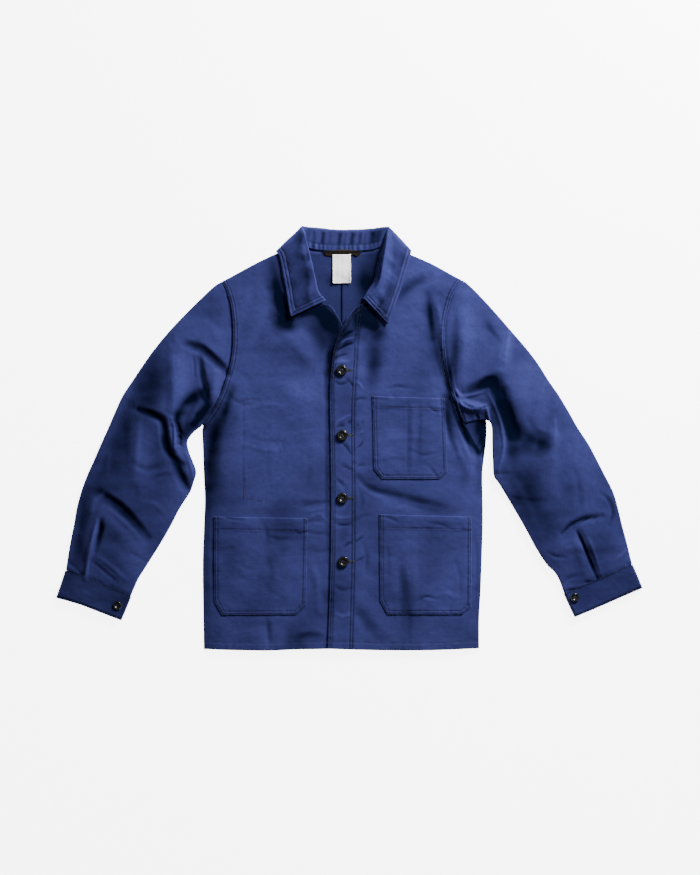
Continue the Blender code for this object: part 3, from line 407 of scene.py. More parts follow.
# Patch pockets: corners in order round the outline, from the top left
CHEST_POCKET = pairs(42, 78, 45, -56, 60, -75, 166, -75, 181, -61, 176, 74)
LEFT_POCKET = pairs(55, -140, 56, -299, 70, -325, 208, -325, 225, -311, 226, -144)
RIGHT_POCKET = pairs(-250, -144, -250, -300, -235, -326, -98, -325, -80, -309, -77, -147)

FRONT_BUTTONS = ((-14, 126), (-13, 6), (-13, -110), (-11, -227))
CUFF_BUTTONS = {Side.LEFT: (416, -293), Side.RIGHT: (-428, -308)}
FRONT_BUTTON_RADIUS = 10.0
CUFF_BUTTON_RADIUS = 8.0

INNER_POCKET_TACK = pairs(-194, -92, -194, -109)
INNER_POCKET_ROWS = (
    pairs(-195, 73, -195, -108), pairs(-195, 72, -168, 72), pairs(-195, -109, -155, -117),
)
NECK_LABEL_TOP = pairs(-50, 345.9, -32, 347.2, -15.4, 349, 1.3, 348.3, 24, 344.6)
NECK_LABEL_FOOT = pairs(-42.4, 337.8, -30.2, 336.5, -15.4, 338.3, 3.1, 339.8, 14.6, 335.6)
CARE_LABEL_TOP = pairs(-31, 340, 2.5, 340)
CARE_LABEL_FOOT = pairs(-30.5, 286.2, 3.0, 287)


def smooth_step(values: Array, start: float, end: float) -> Array:
    """0 before start, 1 after end, and an eased rise between them."""
    t = np.clip((values - start) / (end - start), 0, 1)
    return t * t * (3 - 2 * t)


def bell(values: Array, middle: float, width: float) -> Array:
    """A hump of height 1 about a middle value."""
    return np.exp(-(((values - middle) / width) ** 2))


def soft_floor(height: Array, floor: Array, ease: float = 0.7) -> Array:
    """Heights that stay above a floor, eased where they meet it."""
    over = height - floor
    return floor + 0.5 * (over + np.sqrt(over * over + ease * ease))


def unit(vectors: Array) -> Array:
    """Vectors scaled to a length of 1."""
    return vectors / np.maximum(np.linalg.norm(vectors, axis=-1, keepdims=True), 1e-9)


def left_of(ways: Array) -> Array:
    """Directions turned a quarter to the left."""
    return np.stack([-ways[..., 1], ways[..., 0]], axis=-1)


def raised(plan: Array, height: Array) -> Array:
    """Points in plan with their heights."""
    return np.concatenate([plan, height[..., None]], axis=-1)


def even(count: int) -> Array:
    """Even shares from 0 to 1 in count steps."""
    return np.linspace(0, 1, count + 1)


def smooth_curve(points: Points, per_span: int = 12) -> Array:
    """Close points on the Catmull-Rom curve through the given ones.

    Args:
        points: The points that the curve passes through.
        per_span: Steps between two of them.

    Returns:
        The close points, one in each row.
    """
    p = np.array(points, float)
    p = np.vstack([2 * p[0] - p[1], p, 2 * p[-1] - p[-2]])
    t = np.linspace(0, 1, per_span, endpoint=False)[:, None]
    spans = [
        0.5 * (2 * b + (c - a) * t + (2 * a - 5 * b + 4 * c - d) * t**2 + (3 * b - a - 3 * c + d) * t**3)
        for a, b, c, d in zip(p, p[1:], p[2:], p[3:])
    ]
    return np.vstack(spans + [p[-2:-1]])


def run_of(line: Array, axis: int = 0) -> Array:
    """Length along a line, or along a grid's columns (0) or rows (1), up to each of its points."""
    run = np.cumsum(np.linalg.norm(np.diff(line, axis=axis), axis=-1), axis=axis)
    return np.concatenate([0 * np.take(run, [0], axis), run], axis=axis)


def at_lengths(line: Array, lengths: Array) -> Array:
    """Points on a line at the given lengths along it."""
    run = run_of(line)
    return np.stack([np.interp(lengths, run, axis) for axis in line.T], axis=-1)


def along(points: Points, shares: Array) -> Array:
    """Points at the given shares of the length of the smooth curve through points."""
    dense = smooth_curve(points)
    return at_lengths(dense, shares * run_of(dense)[-1])


def edge_x(curve: Points, y: Array) -> Array:
    """Where a curve that runs down the jacket crosses given heights."""
    dense = smooth_curve(curve)
    return np.interp(-y, -dense[:, 1], dense[:, 0])


def nearest_on(line: Array, x: Array, y: Array) -> tuple[Array, Array, Array]:
    """How each point lies to the nearest place on a line.

    Args:
        line: Points of the line in order, one in each row.
        x: Points' x.
        y: Points' y.

    Returns:
        The distance, the side (1 to the left of the line's way, -1 to the right), and the place as the
        index of the line's points with the share of the step after it.
    """
    distance, side, place = np.full(x.shape, np.inf), np.zeros(x.shape), np.zeros(x.shape)
    for index, (a, b) in enumerate(zip(line, line[1:])):
        step = b - a
        px, py = x - a[0], y - a[1]
        t = np.clip((px * step[0] + py * step[1]) / (step @ step), 0, 1)
        dx, dy = px - t * step[0], py - t * step[1]
        d = np.hypot(dx, dy)
        closer = d < distance
        distance = np.where(closer, d, distance)
        side = np.where(closer, np.sign(step[0] * dy - step[1] * dx), side)
        place = np.where(closer, index + t, place)
    return distance, side, place


def near(line: Array, reach: float, x: Array, y: Array) -> Array:
    """Which points are inside a line's box, widened by a reach."""
    low, high = line.min(axis=0) - reach, line.max(axis=0) + reach
    return (x > low[0]) & (x < high[0]) & (y > low[1]) & (y < high[1])


def offset_line(line: Array, distance: float) -> Array:
    """A line beside another, with mitred corners.

    Args:
        line: Points of the line in order, one in each row.
        distance: How far to the left of the line's way.

    Returns:
        The points of the new line.
    """
    left = left_of(unit(np.diff(line, axis=0)))
    before, after = np.vstack([left[:1], left]), np.vstack([left, left[-1:]])
    normal = unit(before + after)
    stretch = np.maximum(np.sum(normal * before, axis=1), 0.4)
    return line + distance * normal / stretch[:, None]


def armhole_points(side: Side, lengths: Array, shift: float) -> Array:
    """Points on the armhole seam, moved off it towards the sleeve.

    Args:
        side: Which armhole.
        lengths: Shares of the length between the turned edges of the shoulder and the armpit.
        shift: How far towards the sleeve.

    Returns:
        The points, one in each row.
    """
    inset = ROLL / run_of(smooth_curve(ARMHOLE[side]))[-1]
    points = along(ARMHOLE[side], inset + (1 - 2 * inset) * lengths)
    return points + shift * left_of(unit(np.gradient(points, axis=0))) * side.value


def patch(top: Array, bottom: Array, left: Array, right: Array, across: Array, down: Array) -> Array:
    """A grid between four sides: straight rows that take up the bow of the top and bottom.

    Args:
        top: Points of the top side, one for each column.
        bottom: Points of the bottom side.
        left: Points of the left side, one for each row.
        right: Points of the right side.
        across: Share of its row at which each grid point is.
        down: Share of the way down for each row.

    Returns:
        The grid's points.
    """
    u = across[..., None]
    rows = (1 - u) * left[:, None] + u * right[:, None]
    top_bow = top - (1 - u[0]) * top[0] - u[0] * top[-1]
    bottom_bow = bottom - (1 - u[-1]) * bottom[0] - u[-1] * bottom[-1]
    v = down[:, None, None]
    return rows + (1 - v) ** 3 * top_bow + v**3 * bottom_bow


def spread(lengths: Array, first: Sequence[float], last: Sequence[float], middle: int) -> Array:
    """Where the columns of a grid are: at set distances from both ends of a row and even between them.

    Args:
        lengths: Length of each row.
        first: Distances from the start of a row, from 0.
        last: Distances from its end, down to 0.
        middle: How many columns are between them.

    Returns:
        Shares of each row's length.
    """
    head = np.repeat(np.array([first], float), len(lengths), axis=0)
    tail = lengths[:, None] - np.array([last], float)
    t = (np.arange(middle) + 1) / (middle + 1)
    body = head[:, -1:] + (tail[:, :1] - head[:, -1:]) * t
    return np.concatenate([head, body, tail], axis=1) / lengths[:, None]


def roll_angles(steps: int) -> list[float]:
    """Angles of a turned edge's steps."""
    return [math.pi * (step + 1) / steps for step in range(steps)]


def turned(base: Array, outwards: Array, foot: Array, head: Array, angles: Sequence[float]) -> list[Array]:
    """Points round a turned edge.

    Args:
        base: Where the edge starts to turn.
        outwards: The way that it turns.
        foot: Height at which it ends.
        head: Height at which it starts.
        angles: How far it has turned at each step.

    Returns:
        The points of each step.
    """
    return [
        raised(base + ROLL * math.sin(angle) * outwards, foot + 0.5 * (head - foot) * (1 + math.cos(angle)))
        for angle in angles
    ]


@dataclass(frozen=True)
class Fold:
    """A soft ridge, or a trough where the height is below 0, along a smooth path."""

    half_width: float
    height: float
    lean: float
    path: Array

    def add_to(self, x: Array, y: Array, total: Array) -> None:
        """Adds the fold's height.

        Args:
            x: Points' x.
            y: Points' y.
            total: Their heights, which are changed.
        """
        line = smooth_curve(self.path, 5)
        inside = near(line, self.half_width * (1 + abs(self.lean)), x, y)
        distance, side, place = nearest_on(line, x[inside], y[inside])
        reach = self.half_width * (1 + self.lean * side)
        hump = 0.5 + 0.5 * np.cos(np.pi * np.clip(distance / reach, 0, 1))
        share = np.clip(place / (len(line) - 1), 0.06, 0.94)
        total[inside] += self.height * hump * np.sin(np.pi * share) ** 0.5


def folded(rows: Rows, x: Array, y: Array) -> Array:
    """What the folds of a table add to each point.

    Args:
        rows: The table's rows.
        x: Points' x.
        y: Points' y.

    Returns:
        Their heights, on both sides of 0.
    """
    total = np.zeros(x.shape)
    for half_width, height, lean, *path in rows:
        Fold(half_width, height, lean, pairs(*path)).add_to(x, y, total)
    return total


@dataclass(frozen=True)
class Unevenness:
    """Waves in random directions that keep a laid cloth from looking pressed."""

    seed: int
    shortest: float
    longest: float
    depth: float
    level: float = 1.0
    count: int = 22

    def height(self, x: Array, y: Array) -> Array:
        """Heights of the waves.

        Args:
            x: Points' x.
            y: Points' y.

        Returns:
            The heights, on both sides of 0.
        """
        random = np.random.default_rng(self.seed)
        total = np.zeros(x.shape)
        for _ in range(self.count):
            length = random.uniform(self.shortest, self.longest)
            angle = random.uniform(0, math.pi)
            phase = random.uniform(0, math.tau)
            way = x * math.cos(angle) / self.level + y * math.sin(angle)
            total += np.cos(way * math.tau / length + phase)
        return self.depth * total / math.sqrt(self.count / 2)


@dataclass(frozen=True)
class Lay:
    """How high the layers of the jacket lie."""

    creases: Rows
    centre_x: float = -12.5
    body_loft: float = 5.4
    sleeve_loft: float = 6.4
    loft_from: float = 205.0
    loft_to: float = 300.0
    collar_loft: float = 0.4
    fall_raise: float = 2.6
    raise_y: Pair = (165.0, 262.0)
    raise_x: Pair = (150.0, 192.0)
    crown: float = 2.6
    crown_reach: float = 75.0
    # How deep a dip and how high a rise give most of the folds' painted shade and painted highlight
    dark_dip: float = 4.0
    pale_rise: float = 6.0
    waves: tuple[Unevenness, ...] = (
        Unevenness(5, 70, 150, 0.55), Unevenness(11, 20, 44, 0.14, 1.8), Unevenness(17, 9, 18, 0.055, 1.6),
    )

    def underside(self, x: Array, y: Array) -> Array:
        """Height of the back's underside, which lies over the collar's fall."""
        beside = 1 - smooth_step(np.abs(x - self.centre_x), *self.raise_x)
        return self.fall_raise * smooth_step(y, *self.raise_y) * beside

    def creased(self, x: Array, y: Array) -> Array:
        """What folds, creases and unevenness add to the height, on both sides of 0."""
        return folded((*MAIN_FOLDS, *self.creases), x, y) + sum(wave.height(x, y) for wave in self.waves)

    def tone(self, x: Array, y: Array) -> Array:
        """Painted light and shade on the folds, from -1 to 1: a painted highlight where they stand up and
        painted shade where they dip, with the table of painted light and shade added.
        """
        height = self.creased(x, y)
        return np.tanh(height / np.where(height < 0, self.dark_dip, self.pale_rise)) + folded(PAINTED_LIGHT_AND_SHADE, x, y)

    def top(self, x: Array, y: Array) -> Array:
        """Height of the outer face of the top layer.

        Args:
            x: Points' x.
            y: Points' y.

        Returns:
            The heights.
        """
        grow = smooth_step(np.abs(x - self.centre_x), self.loft_from, self.loft_to)
        under = self.underside(x, y)
        loft = self.body_loft + (self.sleeve_loft - self.body_loft) * grow
        loft = loft + self.collar_loft * under / self.fall_raise
        return soft_floor(loft + self.creased(x, y), under + 2 * WALL + LAYER_GAP)


@dataclass(frozen=True)
class Seam:
    """A stitched edge: the cloth is thicker beside it, rolls off at it and sinks at its stitch rows."""

    line: Array
    rows: Numbers = SEAM_ROWS
    band: float = 0.5
    band_width: float = 9.0
    edge_drop: float = 0.8
    edge_reach: float = 1.4
    groove: float = 0.75
    groove_width: float = 1.0
    pucker: float = 0.3
    pitch: float = 9.5
    seed: float = 0.0
    # How much paler the edge is, as rubbed wear; below 0 it is painted shade along the seam
    pale_tone: float = 0.35
    # How much darker the stitch rows are: painted shade in their grooves
    dark_row: float = 0.7

    def measured(self, x: Array, y: Array) -> tuple[Array, Array, Array]:
        """Where the points near the seam are.

        Args:
            x: Points' x.
            y: Points' y.

        Returns:
            Which points are near, their distance from the seam, and their length along it.
        """
        inside = near(self.line, self.band_width + 12, x, y)
        distance, _, place = nearest_on(self.line, x[inside], y[inside])
        run = run_of(self.line)
        return inside, distance, np.interp(place, np.arange(len(run)), run)

    def relief(self, x: Array, y: Array) -> Array:
        """What the seam adds to the cloth's height.

        Args:
            x: Points' x.
            y: Points' y.

        Returns:
            The heights.
        """
        total = np.zeros(x.shape)
        inside, d, s = self.measured(x, y)
        height = self.band * (1 - smooth_step(d, self.band_width - 1.3, self.band_width + 1.3))
        height -= self.edge_drop * (1 - smooth_step(d, 0, self.edge_reach))
        for row in self.rows:
            height -= self.groove * bell(d, row, self.groove_width)
        wave = puckered(s, self.pitch, (1.9, 3.7, 5.3), self.seed)
        total[inside] = height + self.pucker * wave * bell(d, 0.5 * self.band_width, 0.75 * self.band_width)
        return total

    def tone(self, x: Array, y: Array) -> Array:
        """How much paler the rubbed edge is, or darker where a value below 0 paints shade along it, and how
        much darker the stitch rows are, as painted shade in their grooves.

        Args:
            x: Points' x.
            y: Points' y.

        Returns:
            Tones, above 0 where paler.
        """
        total = np.zeros(x.shape)
        inside, d, _ = self.measured(x, y)
        dark = sum(bell(d, row, 1.1) for row in self.rows)
        total[inside] = self.pale_tone * bell(d, 0, 1.3) - self.dark_row * dark
        return total


def puckered(run: Array, pitch: float, ways: Sequence[float], seed: float = 0.0) -> Array:
    """Uneven waves along a row of stitches.

    Args:
        run: Length along the row.
        pitch: Length of a wave.
        ways: How far the waves wander, and over how many waves they wander and fade.
        seed: Where the wandering starts.

    Returns:
        The waves, from -1 to 1.
    """
    turn = math.tau * run / pitch
    wander, long, fade = ways
    return np.sin(turn + wander * np.sin(turn / long + seed)) * (0.6 + 0.4 * np.sin(turn / fade + 1 + seed))


@dataclass
class ClothGrid:
    """A cloth piece as a grid of points over its outer face, which a Solidify turns into a wall."""

    points: Array
    tone: Array
    ring: bool = False
    upper: int = 0

    def quads(self) -> Array:
        """Corners of the grid's faces, four for each, in the order that turns them outwards."""
        rows, columns = self.points.shape[:2]
        index = np.arange(rows * columns).reshape(rows, columns)
        after = np.roll(index, -1, axis=1)
        last = columns if self.ring else columns - 1
        corners = [index[:-1, :last], after[:-1, :last], after[1:, :last], index[1:, :last]]
        upper = self.upper or columns
        right = np.diff(self.points[:-1, :upper], axis=1)
        down = np.diff(self.points[:, : upper - 1], axis=0)
        up = np.sum(right[..., 0] * down[..., 1] - right[..., 1] * down[..., 0])
        return np.stack(corners if up >= 0 else corners[::-1], axis=-1).reshape(-1, 4)

    def mapped(self, quads: Array) -> Array:
        """The cloth's own coordinates, in metres along the rows and columns, for each face corner.

        Args:
            quads: Corners of the faces.

        Returns:
            The coordinates, two for each corner.
        """
        columns = self.points.shape[1]
        wrapped = np.concatenate([self.points, self.points[:, :1]], axis=1)
        across, down = run_of(wrapped, 1), run_of(wrapped, 0)
        row, column = quads // columns, quads % columns
        closing = column.max(axis=1, keepdims=True) - column.min(axis=1, keepdims=True) == columns - 1
        column = np.where(closing & (column == 0), columns, column)
        return np.stack([across[row, column], down[row, column]], axis=-1).reshape(-1, 2) * MM

    def mesh(self) -> Mesh:
        """The open mesh, with the cloth's coordinates and its tones: rubbed wear, painted light and painted
        shade.
        """
        quads = self.quads()
        made = bpy.data.meshes.new("cloth")
        made.from_pydata((self.points.reshape(-1, 3) * MM).tolist(), [], quads.tolist())
        give_tone_and_cloth(made, self.tone, self.mapped(quads))
        return made


def give_tone_and_cloth(mesh: Mesh, tone: Array, cloth: Array) -> None:
    """Gives a mesh its tones, which hold rubbed wear with painted light and shade, and its cloth's own
    coordinates.

    Args:
        mesh: The mesh.
        tone: A tone for each point.
        cloth: Coordinates for each face corner.
    """
    mesh.uv_layers.new(name="Cloth").data.foreach_set("uv", cloth.ravel())
    mesh.attributes.new("tone", "FLOAT", "POINT").data.foreach_set("value", np.clip(tone, -1, 1).ravel())
    mesh.shade_smooth()


def placed(name: str, data: bpy.types.ID) -> Object:
    """Puts a new object in the scene.

    Args:
        name: Its name.
        data: Its mesh, light or camera.

    Returns:
        The object.
    """
    made = bpy.data.objects.new(name, data)
    bpy.context.scene.collection.objects.link(made)
    return made


def put(name: str, mesh: Mesh, finish: Material | None = None, node: str = "") -> Object:
    """Puts a piece of the jacket in the scene.

    Args:
        name: The piece's name.
        mesh: Its mesh, in place.
        finish: Its finish, where the mesh has none yet.
        node: The CAD node that it stands for, if it does.

    Returns:
        The piece.
    """
    piece = placed(name, mesh)
    mesh.name = name
    if finish:
        mesh.materials.append(finish)
    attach(piece, BODY)
    if node:
        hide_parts(node)
    return piece


@dataclass
class Needlework:
    """Rows of stitches, gathered by piece and made by one node tree."""

    rows: list[tuple[Array, Array]] = field(default_factory=list)

    def lay_on(self, surface: BVHTree, line: Array, below: float = 0.0) -> None:
        """Lays a row on a surface, from above, or from below through a wall.

        Args:
            surface: The tree over the cloth's outer face, in metres.
            line: The row's points, x and y.
            below: The wall's thickness where the row is on the far side, or 0.
        """
        length = run_of(line)[-1]
        spots, ups = [], []
        for x, y in at_lengths(line, np.linspace(0, length, max(3, int(length / 1.5)))):
            hit, normal, _, _ = surface.ray_cast(Vector((x * MM, y * MM, 0.2)), Vector((0, 0, -1)))
            if hit is None:
                continue
            up = normal if normal.z > 0 else -normal
            if below:
                hit = hit - up * below * MM
                up = -up
            spots.append(tuple(hit))
            ups.append(tuple(up))
        if len(spots) > 2:
            self.rows.append((np.array(spots), np.array(ups)))

    def lay_free(self, spots: Array, ups: Array) -> None:
        """Lays a row through given places, in millimetres, with the way that each faces."""
        self.rows.append((spots * MM, ups))

    def guide(self, name: str) -> Object:
        """A mesh of edges along the rows that carries the way the cloth faces.

        Args:
            name: The mesh's name.

        Returns:
            Its object, in the scene.
        """
        edges, start = [], 0
        for row, _ in self.rows:
            edges += [(start + k, start + k + 1) for k in range(len(row) - 1)]
            start += len(row)
        spots, ups = (np.vstack(part) for part in zip(*self.rows))
        mesh = bpy.data.meshes.new(name)
        mesh.from_pydata(spots.tolist(), edges, [])
        mesh.attributes.new("facing", "FLOAT_VECTOR", "POINT").data.foreach_set("vector", ups.ravel())
        return placed(name, mesh)


# The stitches' node tree: each node's type, its settings and its values, then the links
STITCH_NODES = {
    "given": ("NodeGroupInput", {}, {}),
    "made": ("NodeGroupOutput", {}, {}),
    "curve": ("GeometryNodeMeshToCurve", {}, {}),
    "steps": ("GeometryNodeResampleCurve", {"mode": "LENGTH"}, {}),
    "facing": ("GeometryNodeInputNamedAttribute", {"data_type": "FLOAT_VECTOR"}, {"Name": "facing"}),
    "tangent": ("GeometryNodeInputTangent", {}, {}),
    "along": ("FunctionNodeAlignRotationToVector", {"axis": "X"}, {}),
    "upright": ("FunctionNodeAlignRotationToVector", {"axis": "Z", "pivot_axis": "X"}, {}),
    "bead": ("GeometryNodeMeshUVSphere", {}, {"Segments": 6, "Rings": 4, "Radius": 0.5}),
    "size": ("ShaderNodeCombineXYZ", {}, {}),
    "vary": ("FunctionNodeRandomValue", {"data_type": "FLOAT"}, {"Min": 0.85, "Max": 1.12}),
    "varied": ("ShaderNodeVectorMath", {"operation": "SCALE"}, {}),
    "raised": ("ShaderNodeVectorMath", {"operation": "SCALE"}, {}),
    "move": ("GeometryNodeSetPosition", {}, {}),
    "scatter": ("GeometryNodeInstanceOnPoints", {}, {}),
    "real": ("GeometryNodeRealizeInstances", {}, {}),
    "smooth": ("GeometryNodeSetShadeSmooth", {}, {}),
    "dye": ("GeometryNodeSetMaterial", {}, {}),
}
STITCH_LINKS = (
    "given.Guide > curve.Mesh", "curve.Curve > steps.Curve", "given.Pitch > steps.Length",
    "facing.Attribute > raised.Vector", "given.Lift > raised.Scale", "steps.Curve > move.Geometry",
    "raised.Vector > move.Offset", "tangent.Tangent > along.Vector", "along.Rotation > upright.Rotation",
    "facing.Attribute > upright.Vector", "given.Length > size.X", "given.Width > size.Y",
    "given.Thickness > size.Z", "given.Seed > vary.Seed", "size.Vector > varied.Vector",
    "vary.Value > varied.Scale", "move.Geometry > scatter.Points", "bead.Mesh > scatter.Instance",
    "upright.Rotation > scatter.Rotation", "varied.Vector > scatter.Scale",
    "scatter.Instances > real.Geometry", "real.Geometry > smooth.Geometry",
    "smooth.Geometry > dye.Geometry", "given.Thread > dye.Material", "dye.Geometry > made.Stitches",
)
STITCH_SIZES = ("Pitch", "Length", "Width", "Thickness", "Lift")


@dataclass(frozen=True)
class Stitch:
    """Sizes of a stitch: pitch along the row, length along it, width across it and thickness."""

    pitch: float = 3.2
    length: float = 2.6
    width: float = 0.62
    thickness: float = 0.5
    lift: float = 0.08
    seed: int = 3

    def tree(self) -> bpy.types.NodeTree:
        """The node tree that sets stitches along a guide's edges."""
        tree = bpy.data.node_groups.new("Stitches", "GeometryNodeTree")
        sizes = dict.fromkeys(STITCH_SIZES, "Float")
        for name, kind in {"Guide": "Geometry", **sizes, "Seed": "Int", "Thread": "Material"}.items():
            tree.interface.new_socket(name, in_out="INPUT", socket_type="NodeSocket" + kind)
        tree.interface.new_socket("Stitches", in_out="OUTPUT", socket_type="NodeSocketGeometry")
        nodes = {}
        for name, (kind, settings, values) in STITCH_NODES.items():
            nodes[name] = tree.nodes.new(kind)
            for setting, value in settings.items():
                setattr(nodes[name], setting, value)
            for socket, value in values.items():
                nodes[name].inputs[socket].default_value = value
        for link in STITCH_LINKS:
            (source, out), (target, into) = (end.split(".") for end in link.split(" > "))
            tree.links.new(nodes[source].outputs[out], nodes[target].inputs[into])
        return tree

    def sew(self, name: str, work: Needlework, thread: Material, slot: str = "moleskin") -> None:
        """Puts gathered rows in the scene as one piece of plain mesh.

        Args:
            name: The piece's name.
            work: The rows.
            thread: The thread's finish.
            slot: Not used.
        """
        guide = work.guide(name + "_guide")
        nodes = guide.modifiers.new("Stitches", "NODES")
        nodes.node_group = self.tree()
        given = {size: getattr(self, size.lower()) * MM for size in STITCH_SIZES}
        given |= {"Seed": self.seed, "Thread": thread}
        for socket in nodes.node_group.interface.items_tree:
            if socket.name in given:
                nodes[socket.identifier] = given[socket.name]
        bpy.context.view_layer.update()
        graph = bpy.context.evaluated_depsgraph_get()
        mesh = bpy.data.meshes.new_from_object(guide.evaluated_get(graph), depsgraph=graph)
        guide.modifiers.remove(nodes)
        bpy.data.objects.remove(guide, do_unlink=True)
        put(name, mesh)
        log.info("%s: %d rows, %d faces", name, len(work.rows), len(mesh.polygons))


class Graph:
    """A material's nodes, with short calls for the ones that cloth and buttons need."""

    def __init__(self, name: str) -> None:
        """Starts a material with a Principled BSDF.

        Args:
            name: The material's name.
        """
        self.material = bpy.data.materials.new(name)
        self.material.use_nodes = True
        self.nodes = self.material.node_tree.nodes
        self.place = self.nodes.new("ShaderNodeTexCoord").outputs

    def feed(self, node: bpy.types.Node, inputs: dict) -> None:
        """Links or sets a node's inputs.

        Args:
            node: The node.
            inputs: For each input, a socket to link or a value to set.
        """
        for name, value in inputs.items():
            if isinstance(value, Socket):
                self.material.node_tree.links.new(value, node.inputs[name])
            else:
                node.inputs[name].default_value = value

    def node(self, kind: str, out: str | int, inputs: dict, **settings: str) -> Socket:
        """Adds a node.

        Args:
            kind: Its type.
            out: The output that is wanted.
            inputs: For each input, a socket to link or a value to set.
            **settings: The node's own settings.

        Returns:
            The output.
        """
        made = self.nodes.new("ShaderNode" + kind)
        for name, value in settings.items():
            setattr(made, name, value)
        self.feed(made, inputs)
        return made.outputs[out]

    def noise(self, scale: float, detail: float, where: Socket | None = None) -> Socket:
        """A noise texture, in cycles a metre, on the given coordinates or the object's."""
        return self.node("TexNoise", "Fac", {
            "Scale": scale, "Detail": detail, "Vector": where or self.place["Object"],
        })

    def waves(self, direction: str, scale: float, distortion: float, where: Socket) -> Socket:
        """A wave texture."""
        inputs = {"Scale": scale, "Distortion": distortion, "Vector": where}
        return self.node("TexWave", "Fac", inputs, bands_direction=direction)

    def stretched(self, source: Socket, scale: Sequence[float], turn: float = 0.0) -> Socket:
        """Coordinates scaled on each axis and turned about z by an angle in degrees."""
        turns = (0, 0, math.radians(turn))
        return self.node("Mapping", "Vector", {"Scale": scale, "Rotation": turns, "Vector": source})

    def ranged(self, value: Socket, low: float, high: float, to_low: float, to_high: float) -> Socket:
        """A value mapped from one range to another."""
        ends = {"From Min": low, "From Max": high, "To Min": to_low, "To Max": to_high}
        return self.node("MapRange", "Result", {"Value": value, **ends})

    def math(self, operation: str, a: Socket, b: Socket | float) -> Socket:
        """A Math node."""
        return self.node("Math", 0, {0: a, 1: b}, operation=operation)

    def mix(self, share: Socket, a: Socket | Colour, b: Socket | Colour) -> Socket:
        """A mix of two colours, by the share of the second."""
        return self.node("Mix", 2, {0: share, 6: a, 7: b}, data_type="RGBA")

    def bump(self, height: Socket, strength: float, distance: float, under: Socket | None = None) -> Socket:
        """A bump from a height, in metres, laid on another one where there is one."""
        inputs = {"Strength": strength, "Distance": distance, "Height": height}
        return self.node("Bump", "Normal", inputs | ({"Normal": under} if under else {}))

    def dressed(self, inputs: dict) -> Material:
        """The material, with the inputs of its Principled BSDF fed."""
        self.feed(self.nodes["Principled BSDF"], inputs)
        return self.material


@dataclass(frozen=True)
class Moleskin:
    """Brushed cotton moleskin: a dull blue nap over a close satin weave, paler where it is rubbed, with
    painted light where its tone is above 0 and painted shade, down to near black, where it is below 0.
    """

    name: str = "moleskin_blue"
    colour: Colour = (0.0270, 0.0300, 0.1140, 1)
    deep: Colour = (0.0230, 0.0252, 0.0950, 1)
    # The pale colour: for random streaks and nap, for rubbed wear and for painted light
    pale_tone: Colour = (0.047, 0.054, 0.214, 1)
    # Near black: painted shade
    painted_shade: Colour = (0.0006, 0.0015, 0.0085, 1)
    tint: Colour = (0.3, 0.45, 1.0, 1)
    roughness: float = 0.75
    sheen: float = 0.02

    def material(self) -> Material:
        """The finish as nodes."""
        g = Graph(self.name)
        cloud, mottle, tone_field = g.noise(22, 3), g.noise(150, 4), g.noise(1400, 3)
        streak = g.noise(48, 4, g.stretched(g.place["UV"], (1, 7, 1)))
        rows = g.waves("DIAGONAL", 300, 1.2, g.place["UV"])
        dye = g.math("ADD", g.math("MULTIPLY", cloud, 0.45), g.math("MULTIPLY", mottle, 0.55))
        body = g.mix(g.ranged(dye, 0.36, 0.64, 0, 1), self.deep, self.colour)
        body = g.mix(g.ranged(streak, 0.45, 0.75, 0, 0.14), body, self.pale_tone)
        body = g.mix(g.ranged(tone_field, 0.45, 0.8, 0, 0.16), body, self.pale_tone)
        tone = g.node("Attribute", "Fac", {}, attribute_name="tone")
        # Above 0 the tone mixes in the pale colour: rubbed wear, painted highlights and painted light
        wear_and_painted_light = g.math("MULTIPLY", g.ranged(tone, 0, 1, 0, 1), g.ranged(mottle, 0.35, 0.65, 0.6, 1.0))
        body = g.mix(wear_and_painted_light, body, self.pale_tone)
        weave = g.bump(rows, 0.25, 0.0002)
        felt = g.bump(streak, 0.15, 0.0005, g.bump(tone_field, 0.4, 0.0003, weave))
        return g.dressed({
            # Below 0 the tone mixes in the near-black painted shade
            "Base Color": g.mix(g.ranged(tone, 0, -1, 0, 1), body, self.painted_shade),
            "Roughness": g.ranged(mottle, 0.3, 0.7, self.roughness - 0.06, self.roughness + 0.08),
            "Sheen Weight": self.sheen, "Sheen Roughness": 0.45, "Sheen Tint": self.tint,
            "Specular IOR Level": 0.05, "Specular Tint": self.tint,
            "Normal": g.bump(mottle, 0.35, 0.0006, felt),
        })


@dataclass(frozen=True)
class Thread:
    """Twisted cotton sewing thread."""

    name: str
    colour: Colour = (0.009, 0.009, 0.048, 1)

    def material(self) -> Material:
        """The finish as nodes."""
        g = Graph(self.name)
        twist = g.noise(2600, 2)
        dark = (*(0.6 * c for c in self.colour[:3]), 1)
        return g.dressed({
            "Base Color": g.mix(g.ranged(twist, 0.35, 0.65, 0, 1), dark, self.colour),
            "Roughness": g.ranged(twist, 0.3, 0.7, 0.5, 0.7),
            "Normal": g.bump(twist, 0.4, 0.0002),
        })


@dataclass(frozen=True)
class Horn:
    """Polished black horn, with faint brown streaks."""

    name: str = "button_horn"
    colour: Colour = (0.004, 0.0045, 0.0045, 1)
    streaks: Colour = (0.012, 0.010, 0.008, 1)
    roughness: float = 0.16

    def material(self) -> Material:
        """The finish as nodes."""
        g = Graph(self.name)
        grain = g.noise(120, 4, g.stretched(g.place["Object"], (1, 5, 1), 25))
        scratch = g.noise(1800, 3)
        return g.dressed({
            "Base Color": g.mix(g.ranged(grain, 0.5, 0.75, 0, 0.8), self.colour, self.streaks),
            "Roughness": g.ranged(scratch, 0.3, 0.7, self.roughness, self.roughness + 0.14),
            "Specular IOR Level": 0.3, "Coat Weight": 0.25, "Coat Roughness": 0.08,
            "Normal": g.bump(scratch, 0.08, 0.0001),
        })


